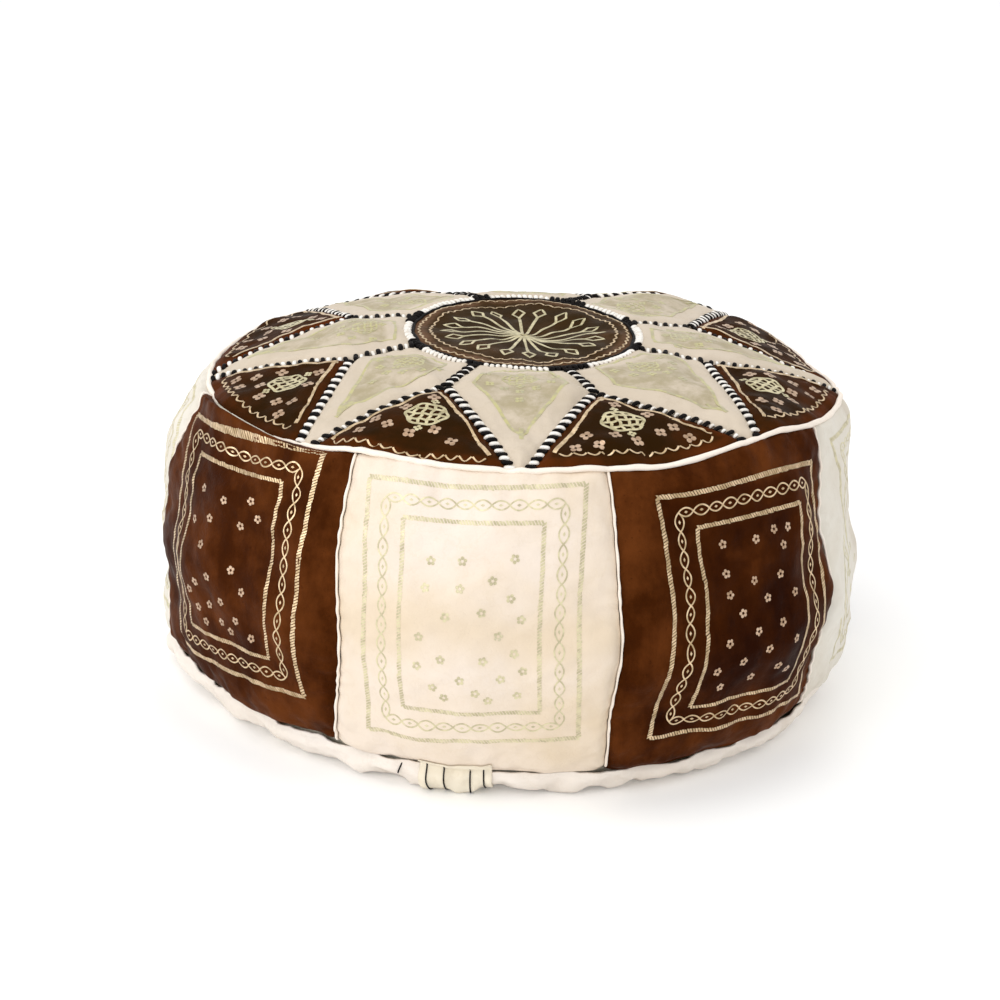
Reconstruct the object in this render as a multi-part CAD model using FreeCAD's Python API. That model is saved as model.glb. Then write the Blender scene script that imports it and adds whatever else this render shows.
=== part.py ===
"""Moroccan leather pouf: a stuffed drum of brown and cream leather, sewn from separate patches.

Millimetres, +Z up. The origin is the centre of the base, on the floor. Angles are in degrees,
seen from above: 0 points to the front (-Y) and 90 to the right (+X).
Each named node is written to parts/NODE.step.
"""
import FreeCAD, Part
import math
import os

Vector = FreeCAD.Vector

# Overall shape of the stuffed cover, measured on the outside of the leather
RIM_RADIUS = 232.0         # top seam, where the crown meets the side
RIM_HEIGHT = 236.0
BELLY_RADIUS = 265.0       # widest part of the side
BELLY_HEIGHT = 104.0
HEM_RADIUS = 246.0         # bottom seam, where the side meets the base
HEM_HEIGHT = 23.0
FOOT_RADIUS = 221.0        # flat part of the base that touches the floor
CROWN_HEIGHT = 264.0       # top of the medallion
CROWN_FLAT_RADIUS = 112.0  # the nearly flat middle of the crown
CROWN_FLAT_BEND = 2600.0   # bend radius of that middle

# Materials and clearances
LEATHER = 1.6              # goatskin with its turned seam allowance
LINING = 0.8               # cotton cloth
LAYER_GAP = 0.2            # between one layer and the next
LAID_ON_GAP = 0.05         # under what is sewn onto the leather's face
SEAM_GAP = 0.4             # between two patches that are sewn edge to edge

# Crown patchwork: eight cream petals with eight brown triangles between their tips
MEDALLION_RADIUS = 85.0
APEX_RADIUS = 138.0        # inner corner of a brown triangle
TIP_WIDTH = 11.0           # width of a cream petal where it meets the rim
TIP_ANGLES = (0.5, 43.5, 88.5, 136.0, 180.0, 228.0, 276.5, 321.0)     # petal tips on the rim
APEX_ANGLES = (22.0, 73.5, 113.0, 158.0, 204.0, 252.0, 297.5, 337.5)  # one after each petal

# Lacing over the crown's seams, and the piping in its rim
LACING_WIDTH = 7.0
LACING_RISE = 1.8
PIPING_RADIUS = 2.4

# Side panels and the welts in their upright seams
PANEL_COUNT = 8
FIRST_SEAM_ANGLE = 16.5
WELT_WIDTH = 2.6
WELT_DEPTH = 2.6

# The stuffing slit in the bottom seam, with its flap and the stitches that close it
FLAP_CENTRE_ANGLE = -7.8
FLAP_WIDTH = 50.0
FLAP_TOP = 29.0
FLAP_LEATHER = 1.3
FLOOR_CLEARANCE = 0.4
STITCH_WIDTH = 1.1
STITCH_RISE = 0.8
STITCH_TOP = 27.0
STITCH_PLACES = (-20.0, -8.0, 10.0, 19.5)   # along the flap, from its centre
STRAY_STITCH_PLACE = -40.0                 # one more stitch, beside the flap
STRAY_STITCH_SPAN = (7.0, 17.0)            # its lowest and highest point

UP = Vector(0, 0, 1)
ORIGIN = Vector(0, 0, 0)
CLEAR = 60.0                               # how far cutting tools run past what they cut
REACH = BELLY_RADIUS + CLEAR
CROWN_LOW = RIM_HEIGHT - CLEAR
CROWN_HIGH = CROWN_HEIGHT + CLEAR
PETAL_COUNT = len(TIP_ANGLES)


# --- the half section, drawn in the XZ plane ---

def section_point(radius, height):
    return Vector(radius, 0, height)


RIM = section_point(RIM_RADIUS, RIM_HEIGHT)


def tangent_arc(start, normal, end):
    """The arc that leaves start square to normal and reaches end."""
    chord = end - start
    radius = -chord.dot(chord) / (2 * chord.dot(normal))
    centre = start - normal * radius
    middle = (start + end) * 0.5 - centre
    return Part.Arc(start, centre + middle.normalize() * radius, end).toShape()


def outer_wire():
    """The whole outline of the cover, both halves."""
    top = section_point(0, CROWN_HEIGHT)
    bend = math.asin(CROWN_FLAT_RADIUS / CROWN_FLAT_BEND)
    shoulder_normal = Vector(math.sin(bend), 0, math.cos(bend))
    shoulder = top - UP * CROWN_FLAT_BEND + shoulder_normal * CROWN_FLAT_BEND
    belly = section_point(BELLY_RADIUS, BELLY_HEIGHT)
    hem = section_point(HEM_RADIUS, HEM_HEIGHT)
    foot = section_point(FOOT_RADIUS, 0)
    outward = Vector(1, 0, 0)
    half = [
        tangent_arc(top, UP, shoulder),
        tangent_arc(shoulder, shoulder_normal, RIM),
        tangent_arc(belly, outward, RIM),
        tangent_arc(belly, outward, hem),
        tangent_arc(foot, -UP, hem),
    ]
    other_half = [edge.mirror(ORIGIN, outward) for edge in half]
    floor = Part.LineSegment(section_point(-FOOT_RADIUS, 0), foot).toShape()
    return Part.Wire(Part.__sortEdges__(half + other_half + [floor]))


def polygon(points):
    return Part.makePolygon(points + points[:1])


def rectangle(low_radius, high_radius, low, high):
    """A rectangle of the half section, as a face."""
    corners = [
        section_point(low_radius, low),
        section_point(high_radius, low),
        section_point(high_radius, high),
        section_point(low_radius, high),
    ]
    return Part.Face(polygon(corners))


def disc(centre, radius):
    """A round face of the half section."""
    return Part.Face(Part.Wire(Part.makeCircle(radius, centre, Vector(0, 1, 0))))


OUTLINE = outer_wire()
HALF_PLANE = rectangle(0, REACH, -CLEAR, CROWN_HIGH)
PIPING_ROOM = disc(RIM, PIPING_RADIUS + LAYER_GAP)


def body_section(inset):
    """The cover's half section, taken in all round by inset (out, if it is negative)."""
    wire = OUTLINE.makeOffset2D(-inset) if inset else OUTLINE
    return Part.Face(wire).common(HALF_PLANE)


def parted_layer(outside, inside, rim_room):
    """The crown, side and base parts of a layer between two insets, parted at the two seams."""
    hem_room = rectangle(FOOT_RADIUS, REACH, HEM_HEIGHT - SEAM_GAP / 2, HEM_HEIGHT + SEAM_GAP / 2)
    layer = body_section(outside).cut(body_section(inside)).cut(rim_room).cut(hem_room)
    return sorted(layer.Faces, key=lambda face: -face.CenterOfMass.z)


# --- solids ---

def turning_edge(edge):
    """The edge to turn. An arc whose torus would cross its own axis goes as a spline instead."""
    curve = edge.Curve
    if isinstance(curve, Part.Circle) and curve.Center.x < curve.Radius:
        return curve.toBSpline(edge.FirstParameter, edge.LastParameter).toShape()
    return edge


def turned(face, start=0.0, sweep=360.0):
    """A face of the half section turned about the Z axis, from the start angle over the sweep."""
    edges = Part.__sortEdges__([turning_edge(edge) for edge in face.Edges])
    solid = Part.Face(Part.Wire(edges)).revolve(ORIGIN, UP, sweep)
    solid.rotate(ORIGIN, UP, start - 90)
    return solid


def around(radius, angle, height=0.0):
    """The point at a radius and an angle from the front, at a height."""
    turn = math.radians(angle)
    return Vector(radius * math.sin(turn), -radius * math.cos(turn), height)


def crown_piece(layer, wire):
    """What of a layer of the crown lies inside a plan outline."""
    face = Part.Face(wire)
    face.translate(UP * CROWN_LOW)
    return layer.common(face.extrude(UP * (CROWN_HIGH - CROWN_LOW)))


def tip_corner(petal, side):
    """Where a petal's edge meets the rim, with side -1 before its tip and 1 after it."""
    half_width = math.degrees(TIP_WIDTH / 2 / RIM_RADIUS)
    return around(RIM_RADIUS, TIP_ANGLES[petal] + side * half_width)


def apex(index):
    """The inner corner of the triangle that follows this petal."""
    return around(APEX_RADIUS, APEX_ANGLES[index])


def past_rim(point):
    """The same direction, past the rim, so that the rim itself trims the patch."""
    return point * ((RIM_RADIUS + CLEAR) / RIM_RADIUS)


def petal_wire(index):
    first = tip_corner(index, -1)
    second = tip_corner(index, 1)
    corners = [ORIGIN, apex(index - 1), first, past_rim(first), past_rim(second), second, apex(index)]
    return polygon(corners).makeOffset2D(-SEAM_GAP / 2)


def triangle_wire(index):
    first = tip_corner(index, 1)
    second = tip_corner((index + 1) % PETAL_COUNT, -1)
    outer = past_rim((first + second) * 0.5) * 1.2
    corners = [apex(index), first, past_rim(first), outer, past_rim(second), second]
    return polygon(corners).makeOffset2D(-SEAM_GAP / 2)


def strip_wire(start, end, width):
    """A straight strip in plan, centred on a line."""
    aside = UP.cross(end - start).normalize() * (width / 2)
    return polygon([start + aside, start - aside, end - aside, end + aside])


def petal_sector_wire(index):
    """The wedge in plan between the two triangle corners beside a petal."""
    far = 2 * REACH
    ends = [around(far, APEX_ANGLES[index - 1]), around(far, APEX_ANGLES[index])]
    return polygon([ORIGIN, ends[0], around(far, TIP_ANGLES[index]), ends[1]])


def grouped(shapes):
    return Part.makeCompound([solid for shape in shapes for solid in shape.Solids])


def crown_patches():
    """The medallion, the eight petals and the eight triangles."""
    crown = parted_layer(0, LEATHER, PIPING_ROOM)[0]
    middle = rectangle(0, MEDALLION_RADIUS, CROWN_LOW, CROWN_HIGH)
    outside = rectangle(MEDALLION_RADIUS + SEAM_GAP, RIM_RADIUS, CROWN_LOW, CROWN_HIGH)
    nodes = {"medallion": turned(crown.common(middle))}
    ring = turned(crown.common(outside))
    for i in range(PETAL_COUNT):
        nodes["petal_%d" % (i + 1)] = crown_piece(ring, petal_wire(i))
        nodes["triangle_%d" % (i + 1)] = crown_piece(ring, triangle_wire(i))
    return nodes


def crown_lacing():
    """The lacing, which lies on the leather as a strip along each seam."""
    lacing = parted_layer(-LAID_ON_GAP - LACING_RISE, -LAID_ON_GAP, PIPING_ROOM)[0]
    ring_low = MEDALLION_RADIUS - LACING_WIDTH / 2
    ring_high = MEDALLION_RADIUS + LACING_WIDTH / 2
    ring = lacing.common(rectangle(ring_low, ring_high, CROWN_LOW, CROWN_HIGH))
    nodes = {"medallion_lacing": turned(ring)}
    outside = rectangle(ring_high + LAYER_GAP, RIM_RADIUS, CROWN_LOW, CROWN_HIGH)
    layer = turned(lacing.common(outside))
    spokes = []
    for i in range(PETAL_COUNT):
        first = strip_wire(apex(i - 1), past_rim(tip_corner(i, -1)), LACING_WIDTH)
        second = strip_wire(apex(i), past_rim(tip_corner(i, 1)), LACING_WIDTH)
        sector = crown_piece(layer, petal_sector_wire(i))
        laid = crown_piece(sector, first)
        nodes["petal_lacing_%d" % (i + 1)] = grouped([laid, crown_piece(sector, second).cut(laid)])
        inner = around(MEDALLION_RADIUS, APEX_ANGLES[i])
        spokes.append(crown_piece(layer, strip_wire(inner, apex(i), LACING_WIDTH)))
    laced = grouped([nodes[name] for name in nodes if name.startswith("petal_lacing")])
    nodes["spoke_lacing"] = grouped([spoke.cut(laced) for spoke in spokes])
    return nodes


def side_panels():
    """The eight side panels, alternately brown and cream, with a welt in each upright seam."""
    nodes = {}
    skin = parted_layer(0, LEATHER, PIPING_ROOM)[1]
    welt = parted_layer(LEATHER - WELT_DEPTH, LEATHER, PIPING_ROOM)[1]
    pitch = 360.0 / PANEL_COUNT
    welt_sweep = math.degrees(WELT_WIDTH / BELLY_RADIUS)
    gap_sweep = math.degrees(SEAM_GAP / 2 / BELLY_RADIUS)
    for i in range(PANEL_COUNT):
        seam = FIRST_SEAM_ANGLE + i * pitch
        colour = ("brown", "cream")[i % 2]
        start = seam + welt_sweep / 2 + gap_sweep
        sweep = pitch - welt_sweep - 2 * gap_sweep
        nodes["side_%s_%d" % (colour, i // 2 + 1)] = turned(skin, start, sweep)
        nodes["side_welt_%d" % (i + 1)] = turned(welt, seam - welt_sweep / 2, welt_sweep)
    return nodes


def base_and_closure():
    """The base, the flap behind the stuffing slit and the black stitches that close it."""
    pitch = math.degrees(1 / HEM_RADIUS)       # degrees for each millimetre round the hem
    above_floor = rectangle(FOOT_RADIUS, REACH, FLOOR_CLEARANCE, FLAP_TOP)
    flap_outside = LAID_ON_GAP + FLAP_LEATHER
    flap = body_section(-flap_outside).cut(body_section(-LAID_ON_GAP)).common(above_floor)
    flap_start = FLAP_CENTRE_ANGLE - FLAP_WIDTH / 2 * pitch

    def stitch(under, low, high, place):
        strip = body_section(-under - STITCH_RISE).cut(body_section(-under))
        strip = strip.common(rectangle(FOOT_RADIUS, REACH, low, high))
        start = FLAP_CENTRE_ANGLE + (place - STITCH_WIDTH / 2) * pitch
        return turned(strip, start, STITCH_WIDTH * pitch)

    on_flap = flap_outside + LAID_ON_GAP
    stitches = [stitch(on_flap, FLOOR_CLEARANCE, STITCH_TOP, place) for place in STITCH_PLACES]
    stitches.append(stitch(LAID_ON_GAP, *STRAY_STITCH_SPAN, STRAY_STITCH_PLACE))
    return {
        "base_panel": turned(parted_layer(0, LEATHER, PIPING_ROOM)[2]),
        "closure_flap": turned(flap, flap_start, FLAP_WIDTH * pitch),
        "closure_stitches": grouped(stitches),
    }


def inside():
    """The cotton lining, in its three sewn pieces, and the stuffing that fills it."""
    outer = LEATHER + LAYER_GAP
    inner = outer + LINING
    rim_room = disc(RIM, PIPING_RADIUS + LAYER_GAP + LINING)
    layers = parted_layer(outer, inner, rim_room)
    nodes = {"lining_%s" % name: turned(face) for name, face in zip(("top", "side", "base"), layers)}
    nodes["stuffing"] = turned(body_section(inner + LAYER_GAP).cut(rim_room))
    return nodes


def main():
    os.makedirs("parts", exist_ok=True)
    nodes = {"top_piping": turned(disc(RIM, PIPING_RADIUS))}
    for group in (crown_patches, crown_lacing, side_panels, base_and_closure, inside):
        nodes.update(group())
    for name, shape in nodes.items():
        solids = shape.Solids
        whole = solids[0] if len(solids) == 1 else Part.makeCompound(solids)
        whole.exportStep("parts/%s.step" % name)
        print("%-20s %2d solids %12.1f mm3 %s" % (name, len(solids), whole.Volume, whole.isValid()))
    print(len(nodes), "nodes")


main()
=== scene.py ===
"""Moroccan leather pouf: the stuffed cover, its stamping, its lacing and its seams.

Metres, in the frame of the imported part: +Z up, the origin at the centre of the base, the front
towards -Y. Angles are in degrees seen from above, 0 at the front and 90 towards +X. A place on the
cover is an angle and a distance: on the crown the distance is the plan radius, and on the flank it
runs down from the rim over the side, round the bottom edge and in under the base.
"""
import math

import bpy
import numpy as np
from mathutils import Matrix, Vector


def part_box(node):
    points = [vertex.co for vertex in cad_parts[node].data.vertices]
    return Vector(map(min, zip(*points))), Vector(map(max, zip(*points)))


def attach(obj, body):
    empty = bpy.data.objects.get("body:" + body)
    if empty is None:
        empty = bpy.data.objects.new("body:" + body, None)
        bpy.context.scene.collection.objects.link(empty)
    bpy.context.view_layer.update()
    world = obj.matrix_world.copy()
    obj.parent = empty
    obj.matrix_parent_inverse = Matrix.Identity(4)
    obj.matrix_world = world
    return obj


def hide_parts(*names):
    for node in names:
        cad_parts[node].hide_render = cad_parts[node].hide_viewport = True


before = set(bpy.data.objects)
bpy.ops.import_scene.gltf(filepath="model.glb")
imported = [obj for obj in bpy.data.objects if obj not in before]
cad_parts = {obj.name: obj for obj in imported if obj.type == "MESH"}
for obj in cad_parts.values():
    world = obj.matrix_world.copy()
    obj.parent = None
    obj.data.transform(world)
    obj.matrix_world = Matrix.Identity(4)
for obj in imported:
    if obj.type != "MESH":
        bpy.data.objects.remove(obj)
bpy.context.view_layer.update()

MM = 0.001

# --- sizes of the cover, from the frame where a box gives them ---
piping_low, piping_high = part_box("top_piping")
PIPING_RADIUS = (piping_high.z - piping_low.z) / 2
RIM_RADIUS = piping_high.x - PIPING_RADIUS
RIM_HEIGHT = piping_high.z - PIPING_RADIUS
CROWN_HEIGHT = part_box("medallion")[1].z
MEDALLION_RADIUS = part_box("medallion")[1].x
BELLY_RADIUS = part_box("side_cream_1")[1].x
BELLY_HEIGHT = 104 * MM
HEM_RADIUS = 246 * MM
HEM_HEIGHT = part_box("base_panel")[1].z
FOOT_RADIUS = 221 * MM
CROWN_FLAT_RADIUS = 112 * MM
CROWN_FLAT_BEND = 2600 * MM
LEATHER = 1.6 * MM
LINING_DEPTH = 7.5 * MM
LINING = 0.8 * MM
STUFFING_DEPTH = 10 * MM

# --- where the patches meet ---
TIP_ANGLES = (0.5, 43.5, 88.5, 136.0, 180.0, 228.0, 276.5, 321.0)
APEX_ANGLES = (22.0, 73.5, 113.0, 158.0, 204.0, 252.0, 297.5, 337.5)
APEX_RADIUS = 138 * MM
TIP_WIDTH = 11 * MM
PETALS = len(TIP_ANGLES)
PETAL_MARGIN = 18.5 * MM
TRIANGLE_MARGIN = 9.5 * MM
PANELS = 8
PANEL_PITCH = 360 / PANELS
FIRST_SEAM = 16.5
SEAM_ANGLES = [FIRST_SEAM + PANEL_PITCH * i for i in range(PANELS)]


# --- the rest shape of the cover ---

def arc(start, normal, end, count=160):
    """Points of the arc that leaves start square to normal and reaches end, in the half section."""
    start, normal, end = (np.array(v, float) for v in (start, normal, end))
    chord = end - start
    radius = -(chord @ chord) / (2 * chord @ normal)
    centre = start - normal * radius
    first = math.atan2(*(start - centre)[::-1])
    last = math.atan2(*(end - centre)[::-1])
    turn = np.linspace(first, last, count)[:, None]
    return centre + radius * np.hstack([np.cos(turn), np.sin(turn)])


class Profile:
    """A stretch of the half section: radius, height and outward normal at a distance along it."""

    def __init__(self, points, by_radius):
        steps = np.linalg.norm(np.diff(points, axis=0), axis=1)
        kept = np.r_[True, steps > 1e-7]
        points = points[kept]
        steps = np.linalg.norm(np.diff(points, axis=0), axis=1)
        self.along = points[:, 0] if by_radius else np.r_[0, np.cumsum(steps)]
        run = np.gradient(points, self.along, axis=0)
        run /= np.linalg.norm(run, axis=1)[:, None]
        self.table = np.column_stack([points, -run[:, 1], run[:, 0]])

    def at(self, along):
        """Radius, height and the normal's two parts."""
        return [np.interp(along, self.along, column) for column in self.table.T]


def round_angles(count):
    """Even steps once round the pouf."""
    return np.linspace(0, 360, count + 1)[:-1]


def make_profiles():
    bend = math.asin(CROWN_FLAT_RADIUS / CROWN_FLAT_BEND)
    shoulder_normal = (math.sin(bend), math.cos(bend))
    top = (0, CROWN_HEIGHT)
    shoulder = (CROWN_FLAT_RADIUS, CROWN_HEIGHT - CROWN_FLAT_BEND * (1 - math.cos(bend)))
    rim = (RIM_RADIUS, RIM_HEIGHT)
    belly = (BELLY_RADIUS, BELLY_HEIGHT)
    hem = (HEM_RADIUS, HEM_HEIGHT)
    foot = (FOOT_RADIUS, 0)
    crown = np.vstack([arc(top, (0, 1), shoulder), arc(shoulder, shoulder_normal, rim)])
    side = np.vstack([arc(belly, (1, 0), rim)[::-1], arc(belly, (1, 0), hem)])
    under = np.vstack([arc(foot, (0, -1), hem)[::-1], [(0, 0)]])
    side_length = np.linalg.norm(np.diff(side, axis=0), axis=1).sum()
    flank = Profile(np.vstack([side, under]), by_radius=False)
    crown = Profile(crown, by_radius=True)
    crown.table[:, 2:] *= -1                    # the crown runs outward, the flank runs down
    crown.table[:, 2:] *= np.sign(crown.table[:1, 3])
    flank.table[:, 2:] *= np.sign(flank.table[:1, 2])
    return {"crown": crown, "flank": flank}, side_length


PROFILES, SIDE_LENGTH = make_profiles()
FLANK_LENGTH = PROFILES["flank"].along[-1]
BASE_FLAT_START = FLANK_LENGTH - FOOT_RADIUS


def polar(angle, radius):
    """Plan x and y of an angle and a radius."""
    turn = np.radians(angle)
    return radius * np.sin(turn), -radius * np.cos(turn)


def rest_shape(part, angle, along):
    """Points of the cover as it is drawn, and their outward normals."""
    radius, height, out, up = PROFILES[part].at(along)
    x, y = polar(angle, radius)
    nx, ny = polar(angle, out)
    x, y, height, nx, ny, up = np.broadcast_arrays(x, y, height, nx, ny, up)
    return np.stack([x, y, height], -1), np.stack([nx, ny, up], -1)


# --- seams ---

# How the seams in front wander: millimetres below the rim, angle
SEAM_PATHS = {
    0: ((0, 15.1), (30, 15.5), (86, 16.1), (118, 16.7), (150, 15.9), (173, 15.5), (221, 16.5)),
    1: ((0, 62.8), (19, 62.4), (45, 59.6), (68, 58.0), (86, 59.4), (108, 61.6), (123, 61.7), (144, 58.2),
        (170, 57.0), (201, 59.0), (221, 60.2)),
    6: ((0, 287.2), (30, 285.0), (60, 281.4), (110, 279.0), (170, 279.5), (221, 281.5)),
    7: ((0, 331.9), (75, 332.5), (119, 334.0), (145, 334.2), (175, 333.3), (221, 331.4)),
}


def smooth_table(places, values, spread, period=None):
    """A smooth curve through a few values: fine places along it and its value at each."""
    places, values = np.asarray(places, float), np.asarray(values, float)
    steps = 6
    reach = 3 * steps
    step = spread / steps
    if period:
        places = np.concatenate([places - period, places, places + period])
        values = np.tile(values, 3)
    fine = np.arange(places[0], places[-1] + step, step)
    weights = np.exp(-(np.arange(-reach, reach + 1) / steps) ** 2 / 2)
    padded = np.pad(np.interp(fine, places, values), reach, mode="edge")
    return fine, np.convolve(padded, weights / weights.sum(), mode="valid")


SEAM_CURVES = {index: smooth_table(*zip(*path), 7) for index, path in SEAM_PATHS.items()}


def seam_angle(index, along):
    """An upright seam's angle at a distance below the rim: each wanders a little."""
    if index in SEAM_CURVES:
        return np.interp(along / MM, *SEAM_CURVES[index])
    swing = 0.9 * np.sin(along / SIDE_LENGTH * math.pi + 0.35 * index)
    waver = 0.25 * np.sin(along / (21 * MM) + 2.1 * index)
    return SEAM_ANGLES[index % PANELS] + swing * (0.9 if index % 2 == 0 else -0.5) + waver


def hem_along(angle):
    """How far below the rim the bottom seam is: it isn't quite level."""
    turn = np.radians(angle)
    return SIDE_LENGTH + 2.2 * MM * np.sin(turn + 0.5) + 1.3 * MM * np.sin(3 * turn + 1.0)


def edge_angle(petal, side, radius):
    """The angle of a petal's edge at a radius, with side -1 before its tip and 1 after it."""
    apex_index = petal - 1 if side < 0 else petal
    tip = TIP_ANGLES[petal] + side * math.degrees(TIP_WIDTH / 2 / RIM_RADIUS)
    apex_angle = APEX_ANGLES[apex_index]
    apex_angle -= 360 * round((apex_angle - tip) / 360)
    ax, ay = polar(apex_angle, APEX_RADIUS)
    tx, ty = polar(tip, RIM_RADIUS)
    share = np.linspace(0, 1, 80)
    x, y = ax + (tx - ax) * share, ay + (ty - ay) * share
    found = np.degrees(np.arctan2(x, -y))
    found += 360 * np.round((tip - found) / 360)
    return np.interp(radius, np.hypot(x, y), found)


def crown_seam_lines():
    """Every straight seam of the crown in plan, as start and end points."""
    starts, ends = [], []
    for i in range(PETALS):
        apex = polar(APEX_ANGLES[i], APEX_RADIUS)
        for petal, side in ((i, 1), ((i + 1) % PETALS, -1)):
            tip = TIP_ANGLES[petal] + side * math.degrees(TIP_WIDTH / 2 / RIM_RADIUS)
            starts.append(apex)
            ends.append(polar(tip, RIM_RADIUS))
        starts.append(polar(APEX_ANGLES[i], MEDALLION_RADIUS))
        ends.append(apex)
    return np.array(starts), np.array(ends)


SEAM_STARTS, SEAM_ENDS = crown_seam_lines()


def crown_seam_distance(angle, radius):
    """How far a place on the crown is from the nearest seam, in plan."""
    angle, radius = np.broadcast_arrays(np.asarray(angle, float), np.asarray(radius, float))
    x, y = polar(angle, radius)
    spot = np.stack([x, y], -1)[..., None, :]
    line = SEAM_ENDS - SEAM_STARTS
    share = ((spot - SEAM_STARTS) * line).sum(-1) / (line ** 2).sum(-1)
    nearest = SEAM_STARTS + np.clip(share, 0, 1)[..., None] * line
    straight = np.linalg.norm(spot - nearest, axis=-1).min(-1)
    return np.minimum(straight, np.abs(radius - MEDALLION_RADIUS))


def side_seam_distance(angle, along):
    """How far a place on the side is from the nearest upright seam."""
    nearest = np.full(np.broadcast(angle, along).shape, 1e3)
    for index in range(PANELS):
        gap = np.abs(around(angle - seam_angle(index, along)))
        nearest = np.minimum(nearest, np.radians(gap) * BELLY_RADIUS)
    return nearest


# --- settling: the stuffing has moved, so the pouf isn't quite round or level ---

# Round the rim: angle, millimetres outward, millimetres upward
RIM_SETTLING = (
    (-116, 0, -8), (-105, 0, -9), (-90, 1, -8), (-75, 3, -9), (-61, 3, -10), (-48, 0, -8.5),
    (-37, 0, -4.5), (-27, 0, 0.5), (-20, 0, 1.8), (-10, 0, 0), (0, 0, 1), (8, 0, 1.5), (15, 0, 2.8),
    (22, 0, 0.4), (28, 0, 1), (34, 0, 4.6), (40, 0, 7.8), (46, 0, 9), (52, 1, 8), (58, 2, 4.4),
    (64, 3, 0.5), (72, 5, 0), (84, 7, -2), (97, 1, -7), (112, 0, -5), (123, 0, -2), (132, 0, 3),
    (143, 0, 4.5), (154, 0, -2), (165, 0, -9), (175, 0, -13), (190, 0, -14), (205, 0, -12),
    (220, 0, -7), (234, 0, -6),
)
RIM_OUT, RIM_UP = (smooth_table([row[0] for row in RIM_SETTLING],
                                [row[way] * MM for row in RIM_SETTLING], 3, 360) for way in (1, 2))
# On the side: angle and millimetres below the rim, the spread of each, millimetres outward and upward
SIDE_SETTLING = (
    (-90, 62, 20, 30, 6, 0), (-87, 125, 18, 38, -4, 0), (-92, 225, 28, 40, 20, 0),
    (93, 100, 26, 62, -19, 0), (-57, 8, 17, 7, 4.5, 12), (-66, 24, 19, 22, 1, 6),
    (150, 120, 25, 60, -4, 0), (215, 150, 22, 50, 5, 0),
)
# On the crown: angle and millimetres from the middle, the spread of each, millimetres upward
CROWN_SETTLING = (
    (-134, 150, 15, 30, -3.5), (-147, 185, 8, 40, 4.5), (145, 170, 14, 34, 3.5), (180, 165, 13, 32, -3.0),
)
MIDDLE_DIP, MIDDLE_DIP_WIDTH = 5.5 * MM, 38 * MM
BACK_RISE, BACK_RISE_RADIUS, BACK_RISE_WIDTH = 5 * MM, 88 * MM, 22 * MM
CROWN_SETTLES_FROM = 95 * MM
RIM_SETTLES_DOWN_TO = 48 * MM
HELD_BY_RIM = 4 * MM


def ease(share):
    """A share from 0 to 1 that starts and ends gently."""
    share = np.clip(share, 0, 1)
    return share * share * (3 - 2 * share)


def around(angle):
    """An angle brought to between -180 and 180."""
    return (np.asarray(angle, float) + 180) % 360 - 180


def backness(angle):
    """0 at the front and 1 at the back."""
    return (0.5 - 0.5 * np.cos(np.radians(around(angle)))) ** 1.5


def groove(distance, width):
    """1 at no distance, falling to 0 past the width."""
    return np.exp(-(distance / width) ** 2)


def spot_share(angle, along, middle, distance, wide, deep):
    """1 at a spot and less round it: degrees round the pouf, millimetres along the cover."""
    return np.exp(-(around(angle - middle) / wide) ** 2 - ((along / MM - distance) / deep) ** 2)


def settling(part, angle, along):
    """How far a place has moved, as vectors."""
    near = around(angle)
    out = 0.0
    if part == "crown":
        share = ease((along - CROWN_SETTLES_FROM) / (RIM_RADIUS - CROWN_SETTLES_FROM))
        lift = -MIDDLE_DIP * groove(along, MIDDLE_DIP_WIDTH)
        lift = lift + BACK_RISE * backness(near) * groove(along - BACK_RISE_RADIUS, BACK_RISE_WIDTH)
        for *place, upward in CROWN_SETTLING:
            lift = lift + upward * MM * spot_share(near, along, *place)
    else:
        share = groove(along, RIM_SETTLES_DOWN_TO)
        lift = 0.0
        for *place, outward, upward in SIDE_SETTLING:
            size = spot_share(near, along, *place) * (1 - groove(along, HELD_BY_RIM))
            out = out + outward * MM * size
            lift = lift + upward * MM * size
    out = out + share * np.interp(near, *RIM_OUT)
    lift = lift + share * np.interp(near, *RIM_UP)
    x, y = polar(near, out)
    x, y, lift = np.broadcast_arrays(x, y, lift)
    return np.stack([x, y, lift], -1)


# --- relief: how far the leather stands in or out of its rest shape ---

WAVES = 14


def hills(points, size, seed):
    """Smooth hills and hollows of about one size, mostly between -1 and 1."""
    draw = np.random.default_rng(seed)
    waves = draw.normal(size=(WAVES, 3))
    waves /= np.linalg.norm(waves, axis=1)[:, None]
    waves *= (2 * math.pi / size * draw.uniform(0.7, 1.35, WAVES))[:, None]
    phases = draw.uniform(0, 2 * math.pi, WAVES)
    return np.sin(points @ waves.T + phases).sum(-1) / WAVES ** 0.5


def swells(points, rise, size, seed):
    """Hills of one height and size, both in millimetres."""
    return rise * MM * hills(points, size * MM, seed)


RIM_PUCKERS = 74
SIDE_PUCKERS = 66
SEAM_PUCKER = 2.3 * MM
SEAM_DIP = 2.6 * MM
SIDE_SEAM_DIP = 3.0 * MM
RIM_DIP = 2.0 * MM
# The fold round the side, where the leather has slumped: its place, its rise and the hollow below it
RIDGE_AT, RIDGE_SWING = 126 * MM, 5 * MM
RIDGE_RISE, RIDGE_WIDTH = 3.4, 20 * MM
HOLLOW_BELOW = 42 * MM
# Where the base comes to rest on the floor
FLOOR_FADE, FLOOR_FADE_PAST = 12 * MM, 6 * MM


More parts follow.
